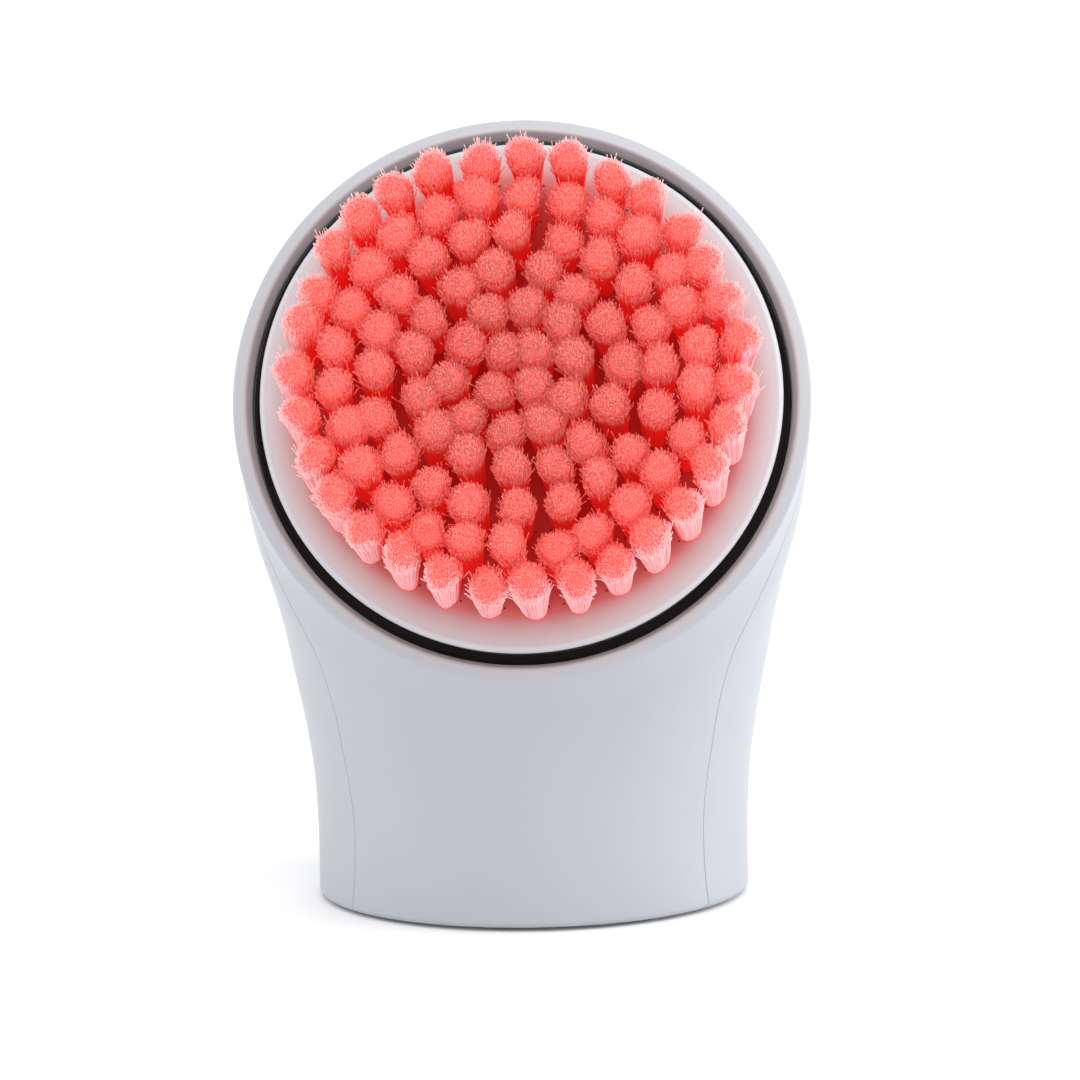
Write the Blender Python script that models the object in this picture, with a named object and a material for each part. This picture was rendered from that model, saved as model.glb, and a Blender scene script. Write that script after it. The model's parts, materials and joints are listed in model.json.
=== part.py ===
"""A compact facial cleansing brush that stands on its own flat base.

The housing is an elbow: an elliptical base that sweeps up and forward into a round collar.
A round brush head sits in the collar and is turned by a small motor through two gear stages.

Lengths are in millimetres and become metres as vertices are made. +Z is up, -Y is the front and the
origin is the middle of the underside of the base. The head frame has its origin at the middle of
the collar's lip, X to the right, Y up along the lip's plane and Z outwards along the spin axis.
"""

import math

import bmesh
import bpy
from mathutils import Vector

MM = 0.001
GAP = 0.3
WALL = 1.8
SNUG = 0.15

# Head frame
HEAD_TILT = 26.0
HEAD_Y = -2.4
HEAD_Z = 46.6

# Housing skin, as side-view points (y, z) and half widths (z, half width)
BASE_HALF_WIDTH = 19.65
BASE_HALF_DEPTH = 13.75
SHELL_BOTTOM = 0.3
BASE_EDGE = 0.35
COLLAR_RADIUS = 26.0
COLLAR_SHOULDER = -1.2
LIP_RADIUS = 24.8
SKIN_SIDES = 36
SKIN_SECTIONS = 9
HALF_WIDTHS = (
    (0.0, 19.6), (6.0, 19.65), (12.0, 19.95), (17.6, 20.65), (23.2, 21.65),
    (28.8, 22.6), (34.4, 23.85), (40.0, 25.35), (46.07, 26.0),
)
REAR_BULGE = ((16.2, 10.0), (19.4, 24.0), (21.4, 38.0), (21.0, 50.0), (18.7, 61.5), (14.5, 67.8))
REAR_INSIDE = ((14.4, 10.0), (17.6, 24.0), (19.6, 38.0), (19.2, 50.0), (17.0, 60.5))
FRONT_WAIST = (-13.45, 11.5)
FRONT_INSIDE = ((-11.65, 11.5), (-11.1, 17.5), (-8.9, 20.8))

# Brush well in the collar, as radii and heights in the head frame
WELL_RADIUS = 24.3
WELL_CHAMFER = -1.3
WELL_STEP = -2.9
WELL_INNER_RADIUS = 22.9
LINER_WALL = 0.3
LINER_FOOT = 0.25
LINER_TOP = -1.5
FLOOR_FRONT = -4.9
FLOOR_BACK = -6.4
HUB_RECESS_RADIUS = 5.2
HUB_RECESS_FLOOR = -6.9
BEARING_BORE = 4.0
BEARING_BOSS = 6.6
BEARING_BACK = -9.9
SEAL_BACK = -7.8
BUSH_FRONT = -8.1

# Parting surface between the two shells, as side-view points and a depth behind the lip
PARTING_FOOT = (
    (-7.9, -5.0), (-7.9, 0.0), (-7.55, 8.0), (-7.35, 18.0), (-7.3, 23.0), (-7.1, 25.5), (-6.2, 28.8),
)
PARTING_DEPTH = -3.6
PARTING_BEND = ((-14.0, PARTING_DEPTH - 0.3), (-9.0, PARTING_DEPTH))
SKIRT_RADIUS = 24.4
SKIRT_DEPTH = 0.15
BOSS_WALL = 1.4
FAR = 60.0

# Brush head
PLATE_RADIUS = 23.5
PLATE_FRONT = 0.4
PLATE_BACK = -2.2
PLATE_ROUNDING = 1.3
TUFT_RINGS = (
    (2.25, 4, 45.0), (5.7, 10, 8.0), (9.2, 15, 3.0), (12.6, 20, 0.0), (16.1, 26, 5.0), (19.5, 31, -86.6),
)
TUFT_HOLE_RADIUS = 1.4
TUFT_ROOT_RADIUS = 0.7
TUFT_TIP_RADIUS = 1.45
TUFT_LENGTH = 11.7
TUFT_SPREAD = 1.054
TUFT_SIDES = 5
MAT_RADIUS = 21.4
MAT_BACK = -3.1
CAP_RADIUS = 22.3
CAP_BACK = -4.3
HUB_RADIUS = 4.3
HUB_BACK = -6.5
HEX_RADIUS = 2.3
HEX_PLAY = 0.35

# Gear train, with depths in the head frame
FINE_MODULE = 0.4
COARSE_MODULE = 0.5
MOTOR_TEETH = 10
IDLER_LARGE_TEETH = 40
IDLER_SMALL_TEETH = 12
OUTPUT_TEETH = 36
BACKLASH = 0.16
MOTOR_DROP = 12.5
COARSE_LAYER = (-12.2, -10.2)
FINE_LAYER = (-13.9, -12.5)
GEAR_PLATE = (-15.6, -14.2)
MOTOR_RADIUS = 6.5
MOTOR_FRONT = -15.9
MOTOR_BACK = -25.2
POSTS = ((-12.2, 0.0), (12.6, 4.0), (-7.5, -17.0))
POST_RADIUS = 2.2
JOURNAL_RADIUS = 1.6
NECK_RADIUS = 1.95
PIN_RADIUS = 0.75
REAR_BUSH_RADIUS = 3.3

# Lower housing
PLATE_TOP = 2.2
BATTERY_RADIUS = 7.0
BATTERY_LENGTH = 25.0
BATTERY_Z = 12.5
TAB_THICKNESS = 0.3
BASE_SCREWS = ((-4.0, -9.2), (4.0, -9.2), (0.0, 9.7))
COUNTERBORE_DEPTH = 1.3
COUNTERBORE_RADIUS = 1.7
CLEARANCE_RADIUS = 1.1
PILOT_RADIUS = 1.1
BOSS_HEIGHTS = (3.8, 10.5)
PILOT_HEIGHTS = (2.0, 9.0)
CONTACT_X = 4.0
CONTACT_RADIUS = 1.2
GASKET_WIDTH = 0.9
GASKET_HEIGHT = 0.9

# Rear controls
BUTTON_Z = 44.0
BUTTON_RADIUS = 5.0
BUTTON_FACE = 21.8
BOARD_Y = (14.8, 15.8)
BOARD_Z = (38.5, 54.5)
BOARD_HALF_WIDTH = 10.0
BOARD_POSTS = (-7.8, 7.8)
BOARD_POST_Z = 51.5
BOARD_POST_RADIUS = 1.8
LIGHT_Z = 51.5
LIGHT_RADIUS = 0.95
BUTTON_PLAY = 0.35
BUTTON_FLANGE_Y = 17.9

TILT = math.radians(HEAD_TILT)
HEAD_NORMAL = (-math.cos(TILT), math.sin(TILT))
HEAD_UP = (math.sin(TILT), math.cos(TILT))
BACKWARD = (math.radians(-90), 0, 0)
SIDEWAYS = (0, math.radians(90), 0)


# ---------------------------------------------------------------- scene and materials

def clear_scene():
    for item in list(bpy.data.objects):
        bpy.data.objects.remove(item, do_unlink=True)


def material(name, colour, roughness, metallic=0.0):
    made = bpy.data.materials.new(name)
    made.use_nodes = True
    shader = made.node_tree.nodes["Principled BSDF"]
    shader.inputs["Base Color"].default_value = (*colour, 1.0)
    shader.inputs["Roughness"].default_value = roughness
    shader.inputs["Metallic"].default_value = metallic
    made.diffuse_color = (*colour, 1.0)
    return made


def make_materials():
    return {
        "shell": material("shell_white", (0.72, 0.73, 0.76), 0.42),
        "disc": material("disc_white", (0.78, 0.76, 0.77), 0.4),
        "bristle": material("bristle_coral", (0.86, 0.16, 0.14), 0.6),
        "grey": material("grey_plastic", (0.30, 0.31, 0.33), 0.5),
        "gear": material("gear_plastic", (0.82, 0.80, 0.74), 0.45),
        "steel": material("turned_steel", (0.62, 0.63, 0.65), 0.3, 1.0),
        "can": material("motor_steel", (0.55, 0.56, 0.58), 0.35, 1.0),
        "bronze": material("bush_bronze", (0.60, 0.42, 0.22), 0.4, 1.0),
        "brass": material("contact_brass", (0.80, 0.62, 0.30), 0.3, 1.0),
        "seal": material("seal_rubber", (0.06, 0.06, 0.065), 0.7),
        "button": material("button_silicone", (0.52, 0.54, 0.57), 0.6),
        "board": material("board_green", (0.03, 0.20, 0.10), 0.5),
        "cell": material("cell_wrap", (0.10, 0.22, 0.50), 0.35),
        "lens": material("lens_clear", (0.85, 0.87, 0.88), 0.15),
        "red": material("wire_red", (0.65, 0.05, 0.04), 0.5),
        "black": material("wire_black", (0.03, 0.03, 0.03), 0.5),
    }


def frame_empty(name, location, parent=None, tilt=0.0):
    empty = bpy.data.objects.new(name, None)
    bpy.context.scene.collection.objects.link(empty)
    empty.location = Vector(location) * MM
    empty.rotation_euler = (tilt, 0.0, 0.0)
    empty.parent = parent
    return empty


def link(name, mesh, finish=None, parent=None, location=(0, 0, 0), rotation=(0, 0, 0)):
    item = bpy.data.objects.new(name, mesh)
    bpy.context.scene.collection.objects.link(item)
    item.location = Vector(location) * MM
    item.rotation_euler = rotation
    item.parent = parent
    if finish and not mesh.materials:
        mesh.materials.append(finish)
    mesh.shade_smooth()
    mesh.set_sharp_from_angle(angle=math.radians(35))
    return item


def helper(name, mesh, parent=None, location=(0, 0, 0), rotation=(0, 0, 0)):
    item = link(name, mesh, None, parent, location, rotation)
    item.hide_render = True
    item.display_type = "WIRE"
    return item


def boolean(item, other, operation):
    cut = item.modifiers.new(other.name, "BOOLEAN")
    cut.object = other
    cut.operation = operation
    cut.solver = "EXACT"


# ---------------------------------------------------------------- mesh builders

def finish_mesh(name, bm):
    bmesh.ops.recalc_face_normals(bm, faces=bm.faces)
    mesh = bpy.data.meshes.new(name)
    bm.to_mesh(mesh)
    bm.free()
    return mesh


def circle(radius, sides, turn=0.0, centre=(0.0, 0.0)):
    step = 2 * math.pi / sides
    return [
        (centre[0] + radius * math.cos(turn + i * step), centre[1] + radius * math.sin(turn + i * step))
        for i in range(sides)
    ]


def ellipse(half_width, half_depth, sides):
    return [(x * half_width, y * half_depth) for x, y in circle(1.0, sides)]


def add_rings(bm, rings, loop):
    """Skins rings of equal length in order. A loop of rings closes on itself, a run gets end caps."""
    made = [[bm.verts.new(Vector(point) * MM) for point in ring] for ring in rings]
    pairs = list(zip(made, made[1:]))
    if loop:
        pairs.append((made[-1], made[0]))
    for lower, upper in pairs:
        count = len(lower)
        for i in range(count):
            j = (i + 1) % count
            bm.faces.new((lower[i], lower[j], upper[j], upper[i]))
    if not loop:
        bm.faces.new(made[0])
        bm.faces.new(made[-1])


def ring_mesh(name, rings, loop=False):
    bm = bmesh.new()
    add_rings(bm, rings, loop)
    return finish_mesh(name, bm)


def flat_ring(outline, height):
    return [(x, y, height) for x, y in outline]


def turned(name, profile, sides=24, loop=True):
    """Turns a profile of (radius, height) points about Z."""
    rings = [flat_ring(circle(radius, sides), height) for radius, height in profile]
    return ring_mesh(name, rings, loop)


def washer(name, inner, outer, low, high, sides=24):
    return turned(name, ((inner, low), (outer, low), (outer, high), (inner, high)), sides)


def prism(name, outlines, low, high):
    """Extrudes one or more separate outlines from low to high."""
    bm = bmesh.new()
    for outline in outlines:
        add_rings(bm, [flat_ring(outline, low), flat_ring(outline, high)], False)
    return finish_mesh(name, bm)


def rods(name, centres, radius, low, high, sides=16):
    return prism(name, [circle(radius, sides, 0.0, centre) for centre in centres], low, high)


def block(name, low, high):
    outline = ((low[0], low[1]), (high[0], low[1]), (high[0], high[1]), (low[0], high[1]))
    return prism(name, [outline], low[2], high[2])


def hull_plate(name, discs, low, high):
    """A plate whose outline is the tightest one round a set of (x, y, radius) discs."""
    bm = bmesh.new()
    for x, y, radius in discs:
        for height in (low, high):
            for point in circle(radius, 16, 0.0, (x, y)):
                bm.verts.new(Vector((*point, height)) * MM)
    hull = bmesh.ops.convex_hull(bm, input=bm.verts)
    inside = [part for part in hull["geom_interior"] if isinstance(part, bmesh.types.BMVert)]
    bmesh.ops.delete(bm, geom=inside, context="VERTS")
    bmesh.ops.dissolve_limit(bm, angle_limit=0.001, verts=bm.verts, edges=bm.edges)
    return finish_mesh(name, bm)


def gear_outline(teeth, module, turn):
    """Stub involute teeth at a 20 degree pressure angle. The first tooth points along turn."""
    pitch = teeth * module / 2
    base = pitch * math.cos(math.radians(20))
    root = pitch - 1.1 * module
    tip = pitch + 0.8 * module

    def involute(radius):
        roll = math.sqrt(max((radius / base) ** 2 - 1, 0.0))
        return roll - math.atan(roll)

    half = math.pi / (2 * teeth) - BACKLASH / (2 * pitch) + involute(pitch)
    flank = [(radius, half - involute(max(radius, base))) for radius in (root, tip)]
    outline = []
    for tooth in range(teeth):
        middle = turn + 2 * math.pi * tooth / teeth
        for radius, angle in flank:
            outline.append((radius * math.cos(middle - angle), radius * math.sin(middle - angle)))
        for radius, angle in reversed(flank):
            outline.append((radius * math.cos(middle + angle), radius * math.sin(middle + angle)))
    return outline


def arc_prism(name, inner, outer, gap_degrees, low, high, sides=14):
    """A ring with a gap in it, as on a snap-on clip."""
    half_gap = math.radians(gap_degrees / 2)
    sweep = 2 * math.pi - 2 * half_gap
    angles = [half_gap + sweep * i / sides for i in range(sides + 1)]
    outline = [(outer * math.cos(a), outer * math.sin(a)) for a in angles]
    outline += [(inner * math.cos(a), inner * math.sin(a)) for a in reversed(angles)]
    return prism(name, [outline], low, high)


def screw_mesh(name, shank, head, length, head_height):
    """A pan-head screw that points along +Z. Its head's underside is at 0."""
    profile = (
        (head * 0.8, -head_height), (head, -head_height * 0.5), (head, 0.0), (shank, 0.0), (shank, length),
    )
    return turned(name, profile, 12, loop=False)


# ---------------------------------------------------------------- housing skin

def head_point(x, along, height):
    """A head-frame point, in the housing's frame."""
    y = HEAD_Y + along * HEAD_UP[0] + height * HEAD_NORMAL[0]
    z = HEAD_Z + along * HEAD_UP[1] + height * HEAD_NORMAL[1]
    return (x, y, z)


def head_ring(radius, height):
    return [head_point(x, y, height) for x, y in circle(radius, SKIN_SIDES)]


def smooth_path(points, fraction):
    """A point on the smooth curve through points, at a fraction of its chord length."""
    marks = [0.0]
    for a, b in zip(points, points[1:]):
        marks.append(marks[-1] + math.dist(a, b))
    marks = [mark / marks[-1] for mark in marks]
    last = len(points) - 1
    span = max(i for i in range(last) if marks[i] <= fraction)

    def slope(i):
        before, after = max(i - 1, 0), min(i + 1, last)
        return [(points[after][k] - points[before][k]) / (marks[after] - marks[before]) for k in (0, 1)]

    width = marks[span + 1] - marks[span]
    t = (fraction - marks[span]) / width
    start, end = slope(span), slope(span + 1)
    return tuple(
        (2 * t**3 - 3 * t**2 + 1) * points[span][k]
        + (t**3 - 2 * t**2 + t) * width * start[k]
        + (3 * t**2 - 2 * t**3) * points[span + 1][k]
        + (t**3 - t**2) * width * end[k]
        for k in (0, 1)
    )


def half_width(z):
    """The housing's half width at a height, read from the smooth curve through HALF_WIDTHS."""
    low, high = 0.0, 1.0
    for _ in range(30):
        middle = (low + high) / 2
        if smooth_path(HALF_WIDTHS, middle)[0] < z:
            low = middle
        else:
            high = middle
    return smooth_path(HALF_WIDTHS, low)[1]


def skin_ring(front, rear, inset):
    middle = [(front[k] + rear[k]) / 2 for k in (0, 1)]
    half = [(rear[k] - front[k]) / 2 for k in (0, 1)]
    width = half_width(middle[1]) - inset
    return [(width * x, middle[0] + half[0] * s, middle[1] + half[1] * s) for x, s in circle(1.0, SKIN_SIDES)]


def outer_rings():
    front = [(-BASE_HALF_DEPTH, SHELL_BOTTOM + BASE_EDGE), FRONT_WAIST]
    front.append(head_point(0, -COLLAR_RADIUS, COLLAR_SHOULDER)[1:])
    rear = [(BASE_HALF_DEPTH, SHELL_BOTTOM + BASE_EDGE), *REAR_BULGE]
    rear.append(head_point(0, COLLAR_RADIUS, COLLAR_SHOULDER)[1:])
    edge = ellipse(BASE_HALF_WIDTH - BASE_EDGE, BASE_HALF_DEPTH - BASE_EDGE, SKIN_SIDES)
    rings = [flat_ring(edge, SHELL_BOTTOM)]
    for i in range(SKIN_SECTIONS + 1):
        fraction = i / SKIN_SECTIONS
        rings.append(skin_ring(smooth_path(front, fraction), smooth_path(rear, fraction), 0.0))
    return rings


def inner_rings():
    top_front = head_point(0, -20.6, FLOOR_BACK)[1:]
    top_rear = head_point(0, 22.6, FLOOR_BACK)[1:]
    inner_depth = BASE_HALF_DEPTH - WALL
    front = [(-inner_depth, SHELL_BOTTOM), *FRONT_INSIDE, top_front]
    rear = [(inner_depth, SHELL_BOTTOM), *REAR_INSIDE, top_rear]
    rings = []
    for i in range(SKIN_SECTIONS, -1, -1):
        fraction = i / SKIN_SECTIONS
        rings.append(skin_ring(smooth_path(front, fraction), smooth_path(rear, fraction), WALL))
    return rings


def housing_blank(name):
    """Both shells in one: the skin, the collar's lip, the well, the bearing boss and the inside."""
    lip = ((25.75, -0.45), (25.3, -0.1), (LIP_RADIUS, 0.0), (WELL_RADIUS, WELL_CHAMFER))
    well = (
        (WELL_RADIUS, WELL_STEP), (WELL_INNER_RADIUS, WELL_STEP), (WELL_INNER_RADIUS, FLOOR_FRONT),
        (HUB_RECESS_RADIUS, FLOOR_FRONT), (HUB_RECESS_RADIUS, HUB_RECESS_FLOOR),
        (BEARING_BORE, HUB_RECESS_FLOOR), (BEARING_BORE, BEARING_BACK),
        (BEARING_BOSS, BEARING_BACK), (BEARING_BOSS, FLOOR_BACK),
    )
    rings = outer_rings() + [head_ring(*point) for point in lip + well] + inner_rings()
    return ring_mesh(name, rings, loop=True)


def front_region(name, head, gap):
    """Everything that belongs to the front shell: in front of the parting surface, and the well."""
    line = [*PARTING_FOOT, *(head_point(0, s, h)[1:] for s, h in PARTING_BEND)]
    line.append(head_point(0, FAR, PARTING_DEPTH)[1:])
    line = [(y - gap * HEAD_NORMAL[0], z - gap * HEAD_NORMAL[1]) for y, z in line]
    line += [(-FAR, line[-1][1]), (-FAR, line[0][1])]
    region = helper(name, ring_mesh(name, [[(x, y, z) for y, z in line] for x in (-FAR, FAR)]))
    skirt_back = FLOOR_BACK - SKIRT_DEPTH - gap
    skirt = rods(name + "_skirt", [(0, 0)], SKIRT_RADIUS + gap, skirt_back, -PARTING_DEPTH, SKIN_SIDES)
    boss_back = BEARING_BACK - BOSS_WALL - gap
    boss = rods(name + "_boss", [(0, 0)], BEARING_BOSS + BOSS_WALL + gap, boss_back, -PARTING_DEPTH)
    for mesh in (skirt, boss):
        boolean(region, helper(mesh.name, mesh, head), "UNION")
    return region


def make_front_shell(finish, head):
    shell = link("front_shell", housing_blank("front_shell"), finish)
    boolean(shell, front_region("front_region", head, 0.0), "INTERSECT")
    overlap = 0.5
    posts = rods("gear_posts", POSTS, POST_RADIUS, GEAR_PLATE[1] + GAP, FLOOR_BACK + overlap)
    boolean(shell, helper("gear_posts", posts, head), "UNION")
    boss_radius = 2.5
    bosses = rods("front_bosses", BASE_SCREWS[:2], boss_radius, *BOSS_HEIGHTS)
    boolean(shell, helper("front_bosses", bosses), "UNION")
    pilots = rods("front_pilots", BASE_SCREWS[:2], PILOT_RADIUS, *PILOT_HEIGHTS, 12)
    boolean(shell, helper("front_pilots", pilots), "DIFFERENCE")
    low, high = GEAR_PLATE[1] - 2.0, GEAR_PLATE[1] + 4.6
    post_pilots = rods("post_pilots", POSTS, PILOT_RADIUS, low, high, 12)
    boolean(shell, helper("post_pilots", post_pilots, head), "DIFFERENCE")


def make_rear_shell(finish, head):
    shell = link("rear_shell", housing_blank("rear_shell"), finish)
    boolean(shell, front_region("rear_region", head, GAP), "DIFFERENCE")
    boss_x, boss_y = BASE_SCREWS[2]
    boss_radius = 2.2
    boss = rods("rear_boss", [(boss_x, boss_y)], boss_radius, *BOSS_HEIGHTS)
    boolean(shell, helper("rear_boss", boss), "UNION")
    rib_y = (boss_y + boss_radius - 1.0, boss_y + 3.7)
    rib = block("rear_rib", (-0.7, rib_y[0], BOSS_HEIGHTS[0]), (0.7, rib_y[1], BOSS_HEIGHTS[1] - 1.0))
    boolean(shell, helper("rear_rib", rib), "UNION")
    pilot = rods("rear_pilot", [(boss_x, boss_y)], PILOT_RADIUS, *PILOT_HEIGHTS, 12)
    boolean(shell, helper("rear_pilot", pilot), "DIFFERENCE")

    places = [(x, -BOARD_POST_Z) for x in BOARD_POSTS]
    posts = rods("board_posts", places, BOARD_POST_RADIUS, BOARD_Y[1] + GAP, 19.0)
    boolean(shell, helper("board_posts", posts, rotation=BACKWARD), "UNION")
    board_pilots = rods("board_pilots", places, BOARD_POST_RADIUS / 2, BOARD_Y[0], 18.0, 12)
    boolean(shell, helper("board_pilots", board_pilots, rotation=BACKWARD), "DIFFERENCE")
    through = (15.0, 30.0)
    hole = rods("button_hole", [(0, -BUTTON_Z)], BUTTON_RADIUS + BUTTON_PLAY, *through, 24)
    boolean(shell, helper("button_hole", hole, rotation=BACKWARD), "DIFFERENCE")
    window = rods("light_hole", [(0, -LIGHT_Z)], LIGHT_RADIUS + BUTTON_PLAY, *through, 12)
    boolean(shell, helper("light_hole", window, rotation=BACKWARD), "DIFFERENCE")


def make_well_liner(finish, head):
    """The dark rubber ring in the gap round the brush head, an L in section, on the well's step."""
    outer = WELL_RADIUS - SNUG
    inner = WELL_INNER_RADIUS + SNUG
    bottom = WELL_STEP + SNUG
    profile = (
        (inner, bottom), (outer, bottom), (outer, LINER_TOP), (outer - LINER_WALL, LINER_TOP),
        (outer - LINER_WALL, bottom + LINER_FOOT), (inner, bottom + LINER_FOOT),
    )
    link("well_liner", turned("well_liner", profile, SKIN_SIDES), finish, head)


# ---------------------------------------------------------------- base

def make_base(finishes):
    half_x = BASE_HALF_WIDTH - WALL - GAP
    half_y = BASE_HALF_DEPTH - WALL - GAP
    edge = 0.4
    rim = [(half_x - edge, half_y - edge, 0.0), (half_x, half_y, edge), (half_x, half_y, PLATE_TOP)]
    rings = [flat_ring(ellipse(a, b, SKIN_SIDES), z) for a, b, z in rim]
    plate = link("base_plate", ring_mesh("base_plate", rings), finishes["shell"])
    counterbores = rods("counterbores", BASE_SCREWS, COUNTERBORE_RADIUS, -1.0, COUNTERBORE_DEPTH, 12)
    clearances = rods("clearances", BASE_SCREWS, CLEARANCE_RADIUS, -1.0, 4.0, 12)
    hole_radius = CONTACT_RADIUS + GAP
    contacts = rods("contact_holes", [(-CONTACT_X, 0), (CONTACT_X, 0)], hole_radius, -1.0, 4.0)
    for mesh in (counterbores, clearances, contacts):
        boolean(plate, helper(mesh.name, mesh), "DIFFERENCE")

    low = PLATE_TOP + GAP
    high = low + GASKET_HEIGHT
    inner_x, inner_y = half_x - GASKET_WIDTH, half_y - GASKET_WIDTH
    band = [(half_x, half_y, low), (half_x, half_y, high), (inner_x, inner_y, high), (inner_x, inner_y, low)]
    rings = [flat_ring(ellipse(a, b, SKIN_SIDES), z) for a, b, z in band]
    link("base_gasket", ring_mesh("base_gasket", rings, loop=True), finishes["seal"])

    screw = screw_mesh("base_screw", 0.8, 1.5, 7.0, 0.9)
    for number, (x, y) in enumerate(BASE_SCREWS, 1):
        link(f"base_screw_{number}", screw, finishes["steel"], location=(x, y, COUNTERBORE_DEPTH - GAP))
    contact = ((CONTACT_RADIUS - 0.3, 0.2), (CONTACT_RADIUS, 0.4), (CONTACT_RADIUS, PLATE_TOP + 0.1))
    pin = turned("charging_contact", contact, 16, loop=False)
    for side, x in (("left", -CONTACT_X), ("right", CONTACT_X)):
        link(f"charging_contact_{side}", pin, finishes["brass"], location=(x, 0, 0))


def make_battery(finishes):
    half = BATTERY_LENGTH / 2
    edge = 0.5
    profile = (
        (BATTERY_RADIUS - edge, -half), (BATTERY_RADIUS, -half + edge),
        (BATTERY_RADIUS, half - edge), (BATTERY_RADIUS - edge, half),
    )
    cell = turned("battery_cell", profile, 24, loop=False)
    link("battery_cell", cell, finishes["cell"], location=(0, 0, BATTERY_Z), rotation=SIDEWAYS)

    cradle = block("battery_cradle", (-11.0, -6.2, PLATE_TOP + GAP), (11.0, 6.2, 9.0))
    cradle = link("battery_cradle", cradle, finishes["grey"])
    bed = rods("battery_bed", [(0, 0)], BATTERY_RADIUS + GAP, -30.0, 30.0, 24)
    boolean(cradle, helper("battery_bed", bed, location=(0, 0, BATTERY_Z), rotation=SIDEWAYS), "DIFFERENCE")
    channel = block("lead_channel", (-30.0, -1.8, 0.0), (30.0, 1.8, PLATE_TOP + 1.9))
    boolean(cradle, helper("lead_channel", channel), "DIFFERENCE")

    outline = ((-2, -3), (2, -3), (2, 4), (1.2, 5), (-1.2, 5), (-2, 4))
    tab = prism("battery_tab", [outline], 0.0, TAB_THICKNESS)
    for side, x in (("left", -half - GAP - TAB_THICKNESS), ("right", half + GAP)):
        link(
            f"battery_tab_{side}", tab, finishes["steel"],
            location=(x, 0, BATTERY_Z), rotation=(math.radians(90), 0, math.radians(90)),
        )


# ---------------------------------------------------------------- drive

def idler_place():
    """Where the idler's axis lies, from the two centre distances."""
    to_output = COARSE_MODULE * (IDLER_SMALL_TEETH + OUTPUT_TEETH) / 2
    to_motor = FINE_MODULE * (IDLER_LARGE_TEETH + MOTOR_TEETH) / 2
    y = (to_motor**2 - to_output**2 - MOTOR_DROP**2) / (2 * MOTOR_DROP)
    return math.sqrt(to_output**2 - y**2), y


def make_gears(finishes, head, idler_axis, motor_axis):
    idler_x, idler_y = idler_place()
    to_idler = math.atan2(idler_y, idler_x)
    to_motor = math.atan2(-MOTOR_DROP - idler_y, -idler_x)

    wheel = prism("output_gear", [gear_outline(OUTPUT_TEETH, COARSE_MODULE, to_idler)], *COARSE_LAYER)
    wheel = link("output_gear", wheel, finishes["gear"], head)
    bore = rods("output_bore", [(0, 0)], HEX_RADIUS + HEX_PLAY, -20.0, 0.0, 6)
    boolean(wheel, helper("output_bore", bore, head), "DIFFERENCE")

    small_turn = to_idler + math.pi + math.pi / IDLER_SMALL_TEETH
    large = prism("idler_gear", [gear_outline(IDLER_LARGE_TEETH, FINE_MODULE, to_motor)], *FINE_LAYER)
    large = link("idler_gear", large, finishes["gear"], idler_axis)
    outline = gear_outline(IDLER_SMALL_TEETH, COARSE_MODULE, small_turn)
    small = prism("idler_pinion", [outline], FINE_LAYER[1] - 0.5, COARSE_LAYER[1])
    boolean(large, helper("idler_pinion", small, idler_axis), "UNION")
    bore = rods("idler_bore", [(0, 0)], PIN_RADIUS + GAP, -20.0, 0.0, 12)
    boolean(large, helper("idler_bore", bore, idler_axis), "DIFFERENCE")
    pin = rods("idler_pin", [(0, 0)], PIN_RADIUS, GEAR_PLATE[0] + 0.1, FLOOR_BACK - GAP, 12)
    link("idler_pin", pin, finishes["steel"], head, (idler_x, idler_y, 0))

    pinion_turn = to_motor + math.pi + math.pi / MOTOR_TEETH
    outline = gear_outline(MOTOR_TEETH, FINE_MODULE, pinion_turn)
    pinion = prism("motor_pinion", [outline], FINE_LAYER[0], FINE_LAYER[1] + 0.5)
    pinion = link("motor_pinion", pinion, finishes["brass"], motor_axis)
    bore = rods("pinion_bore", [(0, 0)], 1.0, -20.0, 0.0, 12)
    boolean(pinion, helper("pinion_bore", bore, motor_axis), "DIFFERENCE")


def make_motor(finishes, head, motor_axis):
    front, back = MOTOR_FRONT, MOTOR_BACK
    can = (
        (1.5, front), (MOTOR_RADIUS, front), (MOTOR_RADIUS, back),
        (MOTOR_RADIUS - 0.6, back), (MOTOR_RADIUS - 0.6, front - 0.6), (1.5, front - 0.6),
    )
    place = (0, -MOTOR_DROP, 0)
    link("motor_can", turned("motor_can", can, 28), finishes["can"], head, place)
    cap = washer("motor_end_cap", 1.1, MOTOR_RADIUS - 0.9, back, back + 1.0, 28)
    link("motor_end_cap", cap, finishes["grey"], head, place)
    rotor = (
        (0.7, back + 0.1), (0.7, back + 1.8), (4.6, back + 1.8),
        (4.6, front - 1.6), (0.7, front - 1.6), (0.7, FINE_LAYER[1] + 0.4),
    )
    link("motor_rotor", turned("motor_rotor", rotor, 16, loop=False), finishes["steel"], motor_axis)


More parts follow.
